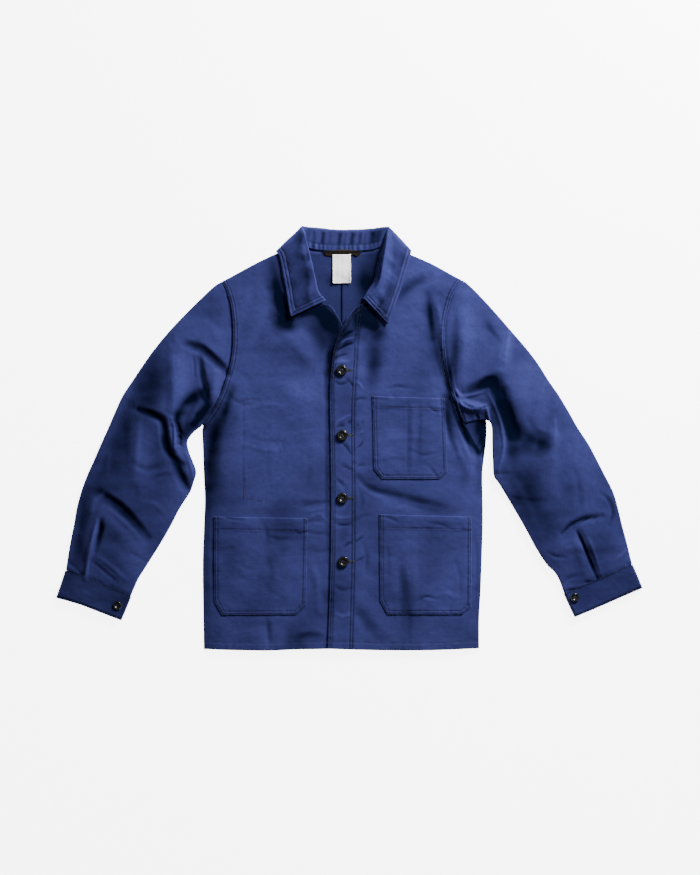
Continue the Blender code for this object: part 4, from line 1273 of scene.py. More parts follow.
@dataclass(frozen=True)
class Tape:
    """Woven tape, with fine ribs across it."""

    name: str
    colour: Colour
    shade: Colour
    roughness: float = 0.6
    ribs: float = 520.0

    def material(self) -> Material:
        """The finish as nodes."""
        g = Graph(self.name)
        rib = g.waves("Y", self.ribs, 0.6, g.place["Object"])
        cloud, fibre = g.noise(90, 4), g.noise(1500, 2)
        tone = g.math("ADD", g.math("MULTIPLY", rib, 0.35), g.math("MULTIPLY", cloud, 0.65))
        return g.dressed({
            "Base Color": g.mix(g.ranged(tone, 0.3, 0.75, 0, 1), self.shade, self.colour),
            "Roughness": g.ranged(fibre, 0.3, 0.7, self.roughness - 0.08, self.roughness + 0.08),
            "Specular IOR Level": 0.1,
            "Normal": g.bump(rib, 0.3, 0.0002),
        })


class Cut:
    """A piece cut from cloth. Stitches are laid on its surface."""

    node: str
    kind: str
    flat: Pair
    area: float | None
    surface: BVHTree | None = None
    slot = "moleskin"
    wall = WALL
    offset = -1.0
    held = "laid"
    rests_on: Sequence[str] = ()
    below = 0.0

    def mesh(self) -> Mesh:
        """The open sheet, in place."""
        raise NotImplementedError

    def lines(self) -> list[Array]:
        """The rows of stitches, in plan."""
        return []

    def build(self, finish: Material) -> Object:
        """Builds and dresses the piece.

        Args:
            finish: The cloth's finish.

        Returns:
            The piece.
        """
        mesh = self.mesh()
        corners = [vertex.co.copy() for vertex in mesh.vertices]
        self.surface = BVHTree.FromPolygons(corners, [tuple(face.vertices) for face in mesh.polygons])
        piece = put(f"{self.node}_{self.kind}", mesh, finish, self.node)
        solidify = piece.modifiers.new("Wall", "SOLIDIFY")
        solidify.thickness, solidify.offset = self.wall * MM, self.offset
        self.rests_on
        log.info("%s: %d points", piece.name, len(mesh.vertices))
        return piece

    def stitch(self, work: Needlework) -> None:
        """Lays the rows of stitches on the piece."""
        for line in self.lines():
            work.lay_on(self.surface, line, self.below)

    def sew(self, stitch: Stitch, thread: Material) -> None:
        """Sews the piece's rows as one piece of stitches.

        Args:
            stitch: The stitch's sizes.
            thread: The thread's finish.
        """
        work = Needlework()
        self.stitch(work)
        stitch.sew(f"stitches_{self.node}", work, thread)


class Half(Cut):
    """A piece cut from cloth for one half of the jacket."""

    part: str
    side: Side

    @property
    def node(self) -> str:
        """The CAD node that it stands for."""
        return f"{self.part}_{self.side.word}"


@dataclass
class Front(Half):
    """A front from the shoulder to the hem. The left one carries the placket and laps over the right one."""

    side: Side
    lay: Lay
    arm_rows: int = 116
    flank_rows: int = 120
    middle_columns: int = 78
    roll_columns: int = 14
    shoulder_turns: int = 8
    placket_lift: float = 1.9
    placket_width: float = 42.0
    placket_top: Pair = (214.0, 246.0)
    underlap_drop: float = 0.8
    underlap: Pair = (-24.0, 2.0)
    armpit_ease: Pair = (14.0, 12.0)
    side_drops: Pair = (1.5, 3.2)
    side_reach: float = 40.0
    hem_depth: float = 13.0
    edge_rows: Pair = (3.4, 7.4)
    edge_rows_from_y: float = 290.0
    at_edge: Numbers = (
        0, 0.5, 1.1, 1.8, 2.6, 3.4, 4.2, 5.2, 6.3, 7.4, 8.4, 9.6, 11.5, 14, 16.5, 19, 21.5, 24, 26.5, 29,
        31.5, 34, 36.2, 38, 39.2, 40.1, 41.2, 42.5, 43.8, 44.9, 46.0, 47.3, 49.5, 52,
    )
    at_side: Numbers = (7, 5, 3.4, 2, 1, 0)
    at_hem: Numbers = (16, 14.6, 13.7, 13, 12.3, 11.2, 9, 6.5, 4.4, 3, 1.9, 1.1, 0.5, 0)
    straightened_rows: int = 70
    flat: Pair = (0.31, 0.77)
    areas: Pair = (0.165, 0.180)

    part = "front"
    kind = "panel"

    @property
    def left(self) -> bool:
        """Whether this is the wearer's left front."""
        return self.side is Side.LEFT

    @property
    def area(self) -> float:
        """The cut's flat area, in square metres."""
        return self.areas[not self.left]

    @property
    def rests_on(self) -> list[str]:
        """The node that it lies on."""
        return [f"back_{self.side.word}"]

    def base(self, x: Array, y: Array) -> Array:
        """Height of the panel without its seams.

        Args:
            x: Points' x.
            y: Points' y.

        Returns:
            The heights.
        """
        past = x - edge_x(FRONT_EDGE[Side.LEFT], y)
        height = self.lay.top(x, y)
        if self.left:
            beside = 1 - smooth_step(past, self.placket_width, 1.8 * self.placket_width)
            height = height + self.placket_lift * beside * (1 - smooth_step(y, *self.placket_top))
            height = height + folded(PLACKET_CREASES, x, y)
        else:
            height = height - self.underlap_drop * smooth_step(past, *self.underlap)
        flank = FLANK[self.side]
        armpit = flank[0][1]
        below = 1 - smooth_step(y, armpit - self.armpit_ease[0], armpit + self.armpit_ease[1])
        inside = np.abs(edge_x(flank, y) - x)
        drop = self.side_drops[not self.left]
        height = height - drop * below * (1 - smooth_step(inside, 0, self.side_reach))
        rise = 1 - (1 - np.clip(inside / self.lay.crown_reach, 0, 1)) ** 2
        from_top, _, _ = nearest_on(smooth_curve(SHOULDER[self.side], 4), x, y)
        fall = 1 - (1 - np.clip(from_top / self.lay.crown_reach, 0, 1)) ** 2
        return height + self.lay.crown * np.where(y < armpit, rise, fall * (1 - below) + rise * below)

    def seams(self) -> list[Seam]:
        """The panel's stitched edges and rows."""
        hem = smooth_curve(HEM[self.side], 8)
        edge = smooth_curve(FRONT_EDGE[self.side], 6)
        found = [
            Seam(smooth_curve(ARMHOLE[self.side], 8), band=0.6, seed=1.3 if self.left else 2.9),
            Seam(hem, (self.hem_depth,), band=0.35, band_width=self.hem_depth, groove=0.3, dark_row=0.15,
                 seed=4.1, pucker=0.25, pitch=17),
        ]
        if self.left:
            row = smooth_curve(PLACKET_INNER_ROW, 8)
            return found + [
                Seam(edge, self.edge_rows, band=0.35, seed=0.4, pucker=0.4, pitch=10),
                Seam(row, (SINGLE_ROW,), band=0, band_width=5, edge_drop=0, pale_tone=0.1, seed=2.2),
            ]
        neck = edge[edge[:, 1] > NECK_FROM_Y]
        return found + [Seam(neck, (SINGLE_ROW,), band=0.2, band_width=5, seed=3.3)] + [
            Seam(at_lengths(path, np.linspace(0, run_of(path)[-1], 20)), (0,), band=0, band_width=4,
                 edge_drop=0, groove=0.5, pucker=0.35, pitch=9)
            for path in INNER_POCKET_ROWS
        ]

    def height(self, x: Array, y: Array) -> Array:
        """Height of the panel's outer face."""
        return self.base(x, y) + sum(seam.relief(x, y) for seam in self.seams())

    def tone(self, x: Array, y: Array) -> Array:
        """Painted light above 0 and painted shade below it, from the folds and the table of painted light and
        shade, with the seams' rubbed edges and darker stitch rows.
        """
        tone = self.lay.tone(x, y) + sum(seam.tone(x, y) for seam in self.seams())
        # The placket's puckers get a painted highlight on their ridges and painted shade in their dips
        return tone + 0.8 * np.tanh(folded(PLACKET_CREASES, x, y)) if self.left else tone

    def mesh(self) -> Mesh:
        """Rows from the shoulder to the hem, columns from the front edge to the side and round it."""
        shoulder, flank, hem = SHOULDER[self.side], FLANK[self.side], HEM[self.side]
        arm = armhole_points(self.side, even(self.arm_rows), -SEAM_GAP / 2)
        length = run_of(smooth_curve(flank))[-1]
        flank_at = spread(np.array([length]), (0.012 * length,), self.at_hem, self.flank_rows)[0]
        outer = np.vstack([arm, along(flank, flank_at)])
        index = np.arange(len(outer))
        free = smooth_step(index, len(arm) - 2.5, len(arm) + 1.5)[:, None]
        ease = np.clip(1 - index / len(arm), 0, 1) ** 1.3
        inner_y = outer[:, 1] + (shoulder[0][1] - outer[0, 1]) * ease
        rows = len(outer)
        inner_y += (hem[0][1] - inner_y[-1]) * smooth_step(index, rows - self.straightened_rows, rows - 1)
        inner = np.stack([edge_x(FRONT_EDGE[self.side], inner_y), inner_y], axis=1)
        outwards = unit(outer - inner)
        start = outer - ROLL * (math.pi * (1 - free) + free) * outwards

        up = left_of(unit(shoulder[-1] - shoulder[0])) * self.side.value
        inner[0] = along(shoulder, np.array([0.0]))[0] - ROLL * up
        across = spread(
            np.linalg.norm(start - inner, axis=1), self.at_edge, self.at_side, self.middle_columns
        )
        top = along(shoulder, across[0]) - ROLL * up
        top = top + (start[0] - top[-1]) * across[0][:, None]
        bottom = along(hem, across[-1])
        bottom = bottom + (start[-1] - bottom[-1]) * across[-1][:, None]
        inner[0] = top[0]
        plan = patch(top, bottom, inner, start, across, run_of(outer) / run_of(outer)[-1])

        x, y = plan[..., 0], plan[..., 1]
        points = raised(plan, self.height(x, y))
        columns, tone = [points], [self.tone(x, y)]
        foot = self.lay.underside(*start.T)
        head, start_tone = points[:, -1, 2], self.tone(*start.T)
        for step, rolled in enumerate(turned(start, outwards, foot, head, roll_angles(self.roll_columns)), 1):
            on = start + math.pi * ROLL * step / self.roll_columns * outwards
            level = raised(on, self.height(*on.T))
            columns.append(((1 - free) * level + free * rolled)[:, None])
            tone.append((1 - free) * self.tone(*on.T)[:, None] + free * start_tone[:, None])
        # The sheet's tones: painted light and shade of the folds, with the seams' rubbed edges and rows
        sheet, tone_field = np.concatenate(columns, axis=1), np.concatenate(tone, axis=1)
        edge = sheet[0]
        low = self.lay.underside(*edge[:, :2].T)
        over = turned(edge[:, :2], up, low, edge[:, 2], roll_angles(self.shoulder_turns))
        sheet = np.concatenate([np.array(over)[::-1], sheet])
        tone_field = np.concatenate([np.repeat(tone_field[:1] * 0.3, self.shoulder_turns, axis=0), tone_field])
        return ClothGrid(sheet, tone_field).mesh()

    def lines(self) -> list[Array]:
        """The rows of stitches."""
        way = self.side.value
        edge = smooth_curve(FRONT_EDGE[self.side], 6)
        found = [offset_line(smooth_curve(ARMHOLE[self.side], 8), -way * row)[3:-2] for row in SEAM_ROWS]
        found.append(offset_line(smooth_curve(HEM[self.side], 8), way * self.hem_depth))
        if not self.left:
            return [*found, offset_line(edge[edge[:, 1] > NECK_FROM_Y], -SINGLE_ROW), *INNER_POCKET_ROWS]
        found += [offset_line(edge[edge[:, 1] < self.edge_rows_from_y], row) for row in self.edge_rows]
        inner = smooth_curve(PLACKET_INNER_ROW, 8)
        return found + [offset_line(inner, row) for row in (-SINGLE_ROW, SINGLE_ROW)]


@dataclass
class Back(Half):
    """A half of the back, whose inner face shows in the neck."""

    side: Side
    lay: Lay
    rows: int = 120
    columns: int = 46
    waves: Unevenness = Unevenness(23, 40, 90, 0.11)
    neck_waves: Unevenness = Unevenness(29, 34, 70, 0.45)
    neck: Pair = (-15.0, 305.0)
    neck_reach: float = 42.0
    ridge: float = 0.9
    ridge_y: float = 346.2
    ridge_reach: float = 60.0
    seam_row: float = 4.0
    hem_depth: float = 13.0
    arm_rows_at: Pair = (2.4, 7.6)
    armpit: Pair = (205.0, 62.0)
    armpit_way: Pair = (0.403, 0.915)
    flat: Pair = (0.27, 0.77)
    area: float = 0.17

    part = "back"
    kind = "panel"
    rests_on = ("collar",)
    below = WALL

    def height(self, x: Array, y: Array) -> Array:
        """Height of the inner face.

        Args:
            x: Points' x.
            y: Points' y.

        Returns:
            The heights.
        """
        waves = self.waves.height(x, y)
        from_neck = ((x - self.neck[0]) / self.neck_reach) ** 2
        open_neck = np.exp(-from_neck - ((y - self.neck[1]) / self.neck_reach) ** 2)
        soft = self.neck_waves.height(x, y) * open_neck
        ridge = self.ridge * bell(y, self.ridge_y, 1.7) * (np.abs(x + 13) < self.ridge_reach)
        seam = 0.25 * bell(np.abs(x - BACK_SEAM_X), self.seam_row, 3.5)
        cloth = self.lay.underside(x, y) + WALL + np.clip(waves + 0.14, 0, 0.35)
        return cloth + np.clip(soft, -0.2, 1) + ridge + seam

    def tone(self, x: Array, y: Array) -> Array:
        """Painted shade on the inner face: the collar's shadow in the neck, darker towards the wearer's left,
        the shadow under the armpit with a paler strip of painted gathers beside the front's edge, and a dark
        line at the centre seam.

        Args:
            x: Points' x.
            y: Points' y.

        Returns:
            Tones, below 0 where darker.
        """
        # Painted shade under the armpit, with a paler strip of painted gathers along the front's edge
        across, down = x - self.armpit[0], y - self.armpit[1]
        ahead = across * self.armpit_way[0] - down * self.armpit_way[1]
        beside = across * self.armpit_way[1] + down * self.armpit_way[0]
        strip = 1 - smooth_step(beside, 14 - 0.16 * ahead, 18 - 0.16 * ahead)
        painted_gathers = 0.75 + 0.25 * np.sin(math.tau * ahead / 7)
        painted_armpit_shade = smooth_step(x, 185, 200) * smooth_step(y, -75, -45) * (1 - 0.58 * strip * painted_gathers)
        # Painted shadow of the collar in the neck, darker towards the wearer's left, with the listed spots
        neck = 0.42 + 0.36 * smooth_step(x, 4, 30)
        for spot_x, spot_y, reach, depth in NECK_SHADES:
            neck = neck + depth * bell(x, spot_x, reach) * bell(y, spot_y, reach)
        return -np.clip(painted_armpit_shade + 0.6 * bell(x, BACK_SEAM_X, 2) + neck * (y > 200), 0, 1)

    def mesh(self) -> Mesh:
        """Rows from the neck and shoulder to the hem, columns from the centre seam to the side."""
        way = self.side.value
        shoulder = SHOULDER[self.side]
        inset = ROLL + BACK_INSET
        half = even(self.columns // 2)
        arm = armhole_points(self.side, even(self.rows * 2 // 5), -SEAM_GAP / 2)
        flank = along(BACK_FLANK[self.side], 0.02 + 0.98 * even(self.rows * 3 // 5))
        outer = np.vstack([
            arm[:-1], arm[-1:] - np.array([way * ARMPIT_INSET, 0]), flank - np.array([way * inset, 0])
        ])
        outer[-1, 1] = BACK_HEM_Y
        down = -left_of(unit(shoulder[-1] - shoulder[0])) * way
        top = np.vstack([along(BACK_NECK[self.side], half), along(shoulder, half)[1:] + inset * down])
        top[0, 0] = BACK_SEAM_X
        outer[0] = top[-1] + (outer[0] - top[-1]) * np.array([1, 0])
        top[-1] = outer[0]
        count = len(outer)
        seam = np.stack([np.full(count, BACK_SEAM_X), np.linspace(top[0, 1], BACK_HEM_Y, count)], axis=1)
        steps = even(len(top) - 1)
        bottom = seam[-1] + (outer[-1] - seam[-1]) * steps[:, None]
        plan = patch(top, bottom, seam, outer, np.repeat(steps[None], count, axis=0), even(count - 1))
        x, y = plan[..., 0], plan[..., 1]
        return ClothGrid(raised(plan, self.height(x, y)), self.tone(x, y)).mesh()

    def lines(self) -> list[Array]:
        """The rows of the centre seam, the hem and the armhole, on the outside of the back."""
        way = self.side.value
        seam_x, hem_y = BACK_SEAM_X + way * self.seam_row, BACK_HEM_Y + self.hem_depth
        arm = smooth_curve(ARMHOLE[self.side], 8)
        return [
            pairs(seam_x, 340, seam_x, BACK_HEM_Y + 2),
            pairs(BACK_SEAM_X + way * 2, hem_y, BACK_SEAM_X + way * 248, hem_y),
            *(offset_line(arm, -way * row)[6:-4] for row in self.arm_rows_at),
        ]


@dataclass
class Tube(Half):
    """A flattened tube of cloth: a top layer, an under layer and a turned edge on each side."""

    side: Side
    lay: Lay
    lift: float = 0.0
    crown: float = 5.0
    rows: int = 180
    columns: int = 70
    turns: int = 10
    hidden_share: float = 0.3
    darker: float = 0.0
    tuck: Pair = (0.0, 0.0)
    tuck_reach: float = 6.0
    at_ends: Numbers = (0, 0.5, 1.0, 1.6, 2.4, 3.4, 4.8)
    at_sides: Numbers = (0, 1.2, 3)

    def sides(self, shares: Array) -> tuple[Array, Array]:
        """The outer and inner edges at the given shares of their length."""
        raise NotImplementedError

    def ends(self, shares: Array) -> tuple[Array, Array]:
        """The end nearest the body and the far end at the given shares of the width."""
        raise NotImplementedError

    def seams(self) -> list[Seam]:
        """The stitched edges."""
        raise NotImplementedError

    def tucked(self, plan: Array, lengths: Array) -> Array:
        """How far the top layer runs under the pieces at its ends.

        Args:
            plan: The layer's points.
            lengths: Length from the first row.

        Returns:
            Moves of the points.
        """
        moves = []
        for row, inner, tuck in ((plan[0], plan[8], self.tuck[0]), (plan[-1], plan[-9], self.tuck[1])):
            normal = left_of(unit(np.gradient(row, axis=0)))
            moves.append(normal * np.sign(np.sum(normal * (row - inner))) * tuck)
        at_start = 1 - smooth_step(lengths, 0, self.tuck_reach)
        at_end = smooth_step(lengths, lengths[-1] - self.tuck_reach, lengths[-1])
        return at_start[:, None, None] * moves[0] + at_end[:, None, None] * moves[1]

    def mesh(self) -> Mesh:
        """Closed rows of the top layer, the inner edge, the under layer and the outer edge."""
        length = run_of(self.sides(even(60))[0])[-1]
        shares = spread(np.array([length]), self.at_ends, self.at_ends[::-1], self.rows)[0]
        outer, inner = self.sides(shares)
        outwards = unit(outer - inner)
        outer, inner = outer - ROLL * outwards, inner + ROLL * outwards
        width = np.linalg.norm(outer - inner, axis=1)
        across = spread(width, self.at_sides, self.at_sides[::-1], self.columns)
        top, bottom = self.ends(across[0])[0], self.ends(across[-1])[1]
        for end, row in ((top, 0), (bottom, -1)):
            share = across[row][:, None]
            end += (outer[row] - end[0]) * (1 - share) + (inner[row] - end[-1]) * share
        plan = patch(top, bottom, outer, inner, across, shares)
        x, y = plan[..., 0], plan[..., 1]
        grown = smooth_step(shares, 0, 0.2) * (1 - smooth_step(shares, 0.88, 1))
        arch = 1 - np.abs(2 * across - 1) ** 2.2
        height = self.lay.top(x, y) + self.lift + self.crown * arch * grown[:, None]
        seams = self.seams()
        height = height + sum(seam.relief(x, y) for seam in seams)
        upper = raised(plan + self.tucked(plan, shares * length), height)
        under = np.clip(self.hidden_share * (self.lay.creased(x, y) + 0.6), 0, 1.2)
        lower = raised(plan, under * np.sin(np.pi * across) ** 0.7)[:, ::-2]
        angles = roll_angles(self.turns)[:-1]
        floor = np.zeros(len(outer))
        inner_edge = np.array(turned(inner, -outwards, floor, height[:, -1], angles)).transpose(1, 0, 2)
        outer_edge = np.array(turned(outer, outwards, floor, height[:, 0], angles[::-1])).transpose(1, 0, 2)
        points = np.concatenate([upper, inner_edge, lower, outer_edge], axis=1)
        tone = np.zeros(points.shape[:2])
        # The top layer's tones: painted light and shade of the folds and seams, all darker by a set amount
        tone[:, : upper.shape[1]] = self.lay.tone(x, y) + sum(seam.tone(x, y) for seam in seams) - self.darker
        return ClothGrid(points, tone, ring=True, upper=upper.shape[1]).mesh()


@dataclass
class Sleeve(Tube):
    """A sleeve from the armhole to the cuff."""

    fan: Pair = (0.45, 0.1)
    tuck: Pair = (2.4, 2.0)
    flat: Pair = (0.44, 0.62)
    area: float = 0.21

    part = "sleeve"
    kind = "tube"

    def sides(self, shares: Array) -> tuple[Array, Array]:
        """The outer and inner edges at the given shares; the rows fan out about the armpit."""
        fanned = np.interp(shares, [0, self.fan[0], 1], [0, self.fan[1], 1])
        return along(SLEEVE_OUTER[self.side], shares), along(SLEEVE_INNER[self.side], fanned)

    def ends(self, shares: Array) -> tuple[Array, Array]:
        """The armhole and the cuff's seam at the given shares of the width from the outer edge."""
        return armhole_points(self.side, shares, SEAM_GAP / 2), along(CUFF_SEAM[self.side], shares)

    def seams(self) -> list[Seam]:
        """The cloth dips where it runs under the body's seam and into the cuff, with painted shade along both
        seams.
        """
        return [
            Seam(smooth_curve(ARMHOLE[self.side], 8), (), band=-1.0, band_width=3.5, edge_drop=1.1,
                 edge_reach=2.8, pucker=0.28, pitch=13, seed=5, pale_tone=-0.5),
            Seam(smooth_curve(CUFF_SEAM[self.side], 8), (), band=-0.8, band_width=4, edge_drop=1.0,
                 edge_reach=2.4, pucker=0.4, pitch=15, seed=7, pale_tone=-0.5),
        ]


@dataclass
class Cuff(Tube):
    """A cuff, stiffer than the sleeve, stitched near its edges."""

    rows: int = 22
    columns: int = 56
    crown: float = 0.5
    lift: float = 1.0
    darker: float = 0.32
    hidden_share: float = 0.15
    rows_at: tuple[float, float, float] = (2.0, 3.2, 2.6)
    flat: Pair = (0.28, 0.055)
    area: float | None = None

    part = "cuff"
    kind = "band"

    def sides(self, shares: Array) -> tuple[Array, Array]:
        """The outer and inner edges at the given shares of their length."""
        return along(CUFF_OUTER[self.side], shares), along(CUFF_INNER[self.side], shares)

    def ends(self, shares: Array) -> tuple[Array, Array]:
        """The seam with the sleeve and the open end at the given shares of the width."""
        seam, end = along(CUFF_SEAM[self.side], shares), along(CUFF_END[self.side], shares)
        return seam + SEAM_GAP * unit(end - seam), end

    def seams(self) -> list[Seam]:
        """Rows of stitches beside the seam, the end and the closing edge."""
        seam, end, inner = (smooth_curve(line[self.side], 8) for line in (CUFF_SEAM, CUFF_END, CUFF_INNER))
        at_seam, at_end, at_inner = self.rows_at
        return [
            Seam(seam, (at_seam,), 0.3, 5, edge_drop=0.9, edge_reach=1.2, pucker=0.12, seed=1),
            Seam(end, (at_end,), 0.2, 6, edge_drop=0.7, edge_reach=1.2, pucker=0.1, seed=2),
            Seam(inner, (at_inner,), 0.2, 6, edge_drop=0.1, edge_reach=1.0, pucker=0.1, seed=3),
        ]

    def lines(self) -> list[Array]:
        """The rows of stitches."""
        at_seam, at_end, at_inner = self.rows_at
        rows = ((CUFF_SEAM, at_seam, 1), (CUFF_END, -at_end, 2), (CUFF_INNER, at_inner, 1))
        return [
            offset_line(smooth_curve(curve[self.side], 8), self.side.value * away)[skip:-skip]
            for curve, away, skip in rows
        ]


@dataclass
class Collar(Cut):
    """The collar in one band: a stand that rises from the neck seam, a fold and a fall with two leaves."""

    per_span: int = 22
    stand_columns: int = 14
    fold_columns: int = 14
    fall_columns: int = 9
    at_edge: Numbers = (
        17, 14.5, 12.6, 11.8, 11, 10.2, 9.2, 7.6, 6.2, 5.6, 5, 4.4, 3.6, 2.6, 1.6, 0.8, 0,
    )
    rows_at: Pair = (5.0, 11.0)
    groove: float = 0.75
    back_ends: tuple[Sequence[float], Sequence[float]] = ((46, 66), (-86, -66))
    back_from_y: float = 325.0
    stand_top: Pair = (30.0, 37.0)
    waves: tuple[Unevenness, ...] = (Unevenness(31, 25, 60, 0.2), Unevenness(37, 9, 18, 0.07))
    flat: Pair = (0.62, 0.105)
    area: float = 0.05

    node = "collar"
    kind = "band"
    wall = BAND_WALL
    offset = 0.0
    held = "folded"
    rests_on = ("front_left", "front_right")

    fronts: Sequence[Front] = ()
    points: Array | None = field(default=None, repr=False)

    def bare(self) -> Array:
        """The middle of the band without its stitches and wrinkles, as a grid."""
        seam, fold, edge = (np.array([row[k] for row in COLLAR_STATIONS], float) for k in range(3))
        turn = np.radians([row[3] for row in COLLAR_STATIONS])[:, None]
        radius = np.array([row[4] for row in COLLAR_STATIONS], float)[:, None]
        away = np.zeros(seam.shape)
        away[:, 0] = np.sign(seam[:, 0] - (seam[:, 0].min() + seam[:, 0].max()) / 2)
        offset = radius * (np.cos(turn) * np.array([0, 0, 1.0]) + np.sin(turn) * away)
        level = np.array([1, 1, 0])
        stand = fold + radius * unit((seam - fold) * level) - offset
        fall = fold + radius * unit((edge - fold) * level) + offset
        lines = (seam, (seam + stand) / 2, stand, fold, fall, (fall + edge) / 2, edge)
        rows = []
        for profile in np.stack([smooth_curve(line, self.per_span) for line in lines], axis=1):
            dense = smooth_curve(profile)
            length = run_of(dense)[-1]
            shares = np.concatenate([
                np.linspace(0, 0.27, self.stand_columns, endpoint=False),
                np.linspace(0.27, 0.46, self.fold_columns, endpoint=False),
                np.linspace(0.46, 1 - self.at_edge[0] / length, self.fall_columns, endpoint=False),
            ])
            rows.append(at_lengths(dense, np.concatenate([shares * length, length - np.array(self.at_edge)])))
        return np.array(rows)

    def normals(self, points: Array) -> Array:
        """The way that each point of the band faces: up on the leaves and on the stand at the back."""
        normal = unit(np.cross(np.gradient(points, axis=1), np.gradient(points, axis=0)))
        return normal * np.sign(normal[0, points.shape[1] - 8, 2])

    def mesh(self) -> Mesh:
        """The band with its stitches and wrinkles, laid over the fronts."""
        points = self.bare()
        normal = self.normals(points)
        rows = len(points)
        from_seam = run_of(points, 1)
        from_edge = from_seam[:, -1:] - from_seam
        run = run_of(points[:, -1])[:, None]
        from_end = np.minimum(run, run[-1] - run)
        border = np.minimum(from_edge, from_end)
        turn = np.array([row[3] for row in COLLAR_STATIONS], float)
        turn = np.interp(np.linspace(0, len(turn) - 1, rows), np.arange(len(turn)), turn)
        under = smooth_step(turn, 40, 90)[:, None]
        x, y = points[..., 0], points[..., 1]
        from_left, from_right = self.back_ends
        back = smooth_step(x, *from_right) * (1 - smooth_step(x, *from_left)) * (y > self.back_from_y)
        stand = 1 - smooth_step(from_seam, *self.stand_top)

        relief = np.zeros(x.shape)
        for row in self.rows_at:
            relief -= self.groove * bell(border, row, 0.9)
        relief += 0.25 * (1 - smooth_step(border, 9.5, 13.5)) - 0.35 * (1 - smooth_step(border, 0, 1.5))
        for waves in self.waves:
            relief += waves.height(x, y) * smooth_step(from_seam, 18, 36)
        tucks = np.zeros(x.shape)
        slope = (from_seam - 22) * 0.12
        for at, half, depth in STAND_TUCKS:
            tucks -= depth * bell(x - at, slope, half)
        above = smooth_step(from_seam, 10, 16)
        fine = np.sin(x / 1.5 + 1.6 * np.sin(x / 7.3)) * (0.6 + 0.4 * np.sin(x / 11 + 1))
        low = bell(from_seam, 6, 6)
        relief += back * stand * (1.2 * tucks * (0.35 + 0.65 * above) + 0.85 * low * fine)
        relief -= back * 0.8 * bell(from_seam, 12.5, 1.3)
        puck = bell(from_seam, 33, 9) * smooth_step(border, 2, 14) * (1 - back)
        relief += 0.5 * puck * np.sin(run / 5.2 + 1.7 * np.sin(run / 17))
        relief += 0.9 * (bell(from_edge, 24, 16) * (1 - back)) * smooth_step(from_end, 0, 30)
        points = points + relief[..., None] * normal
        x, y, z = np.moveaxis(points, -1, 0)
        for front in self.fronts:
            past = (x - edge_x(FRONT_EDGE[front.side], y)) * front.side.value
            over = smooth_step(past, -2, 5) * (from_seam > 30) * (1 - under)
            floor = front.height(x, y) + BAND_WALL / 2 + LAYER_GAP
            z = np.where(over > 0, over * soft_floor(z, floor) + (1 - over) * z, z)
        points[..., 2] = np.maximum(z, BAND_WALL / 2)
        self.points = points

        leaf = smooth_step(from_seam, 30, 40) * (1 - under)
        inside = leaf * (1 - smooth_step(from_edge, 8, 14))
        # Paler rubbed edges, with painted light and shade on the relief and on the stand's tucks
        tone = 0.25 * bell(border, 0, 1.4) + np.tanh(relief / 2.5) + 0.26 * back * stand * np.tanh(relief)
        # Painted shade over the leaves, with painted light near their outer edges
        tone += np.where(x < 0, 0.6, 0.5) * inside * smooth_step(from_end, 2, 12) - 0.7 * leaf
        # Painted light near the leaves' ends
        tone += 0.15 * leaf * (1 - smooth_step(from_end, 8, 14))
        # Painted light on the stand at the front, on the wearer's left
        tone += 0.25 * (x > 0) * (1 - back) * (1 - smooth_step(from_seam, 24, 32))
        # Painted shadow on the stand at the back towards the wearer's left, and a painted dark spot near its
        # end
        tone -= 0.3 * smooth_step(x, 20, 52) * back * stand
        tone -= 0.5 * bell(x, 60, 13) * bell(y, 378, 16)
        # Painted shade in the stitch rows
        tone -= 0.4 * sum(bell(border, row, 1.1) for row in self.rows_at)
        return ClothGrid(points, tone).mesh()

    def stitch(self, work: Needlework) -> None:
        """Lays two rows along the ends and the outer edge.

        Args:
            work: Where the rows are gathered.
        """
        points, facing = self.points, self.normals(self.points)
        columns = np.arange(points.shape[1])
        run = run_of(points[:, -1])
        fold = 0.5 * (self.stand_columns + self.fold_columns) + 8
        for away in self.rows_at:
            first = int(np.searchsorted(run, away))
            last = int(np.searchsorted(run, run[-1] - away)) - 1
            beside = [float(np.interp(row[-1] - away, row, columns)) for row in run_of(points, 1)]
            path = [(first, column) for column in np.arange(fold, beside[first], 0.5)]
            path += [(row, beside[row]) for row in range(first, last + 1)]
            path += [(last, column) for column in np.arange(beside[last], fold, -0.5)]
            row, column = (np.array(part) for part in zip(*path))
            low = column.astype(int)
            t = (column - low)[:, None]
            high = np.minimum(low + 1, columns[-1])
            normal = unit((1 - t) * facing[row, low] + t * facing[row, high])
            spots = (1 - t) * points[row, low] + t * points[row, high] + normal * 0.5 * BAND_WALL
            work.lay_free(spots, normal)


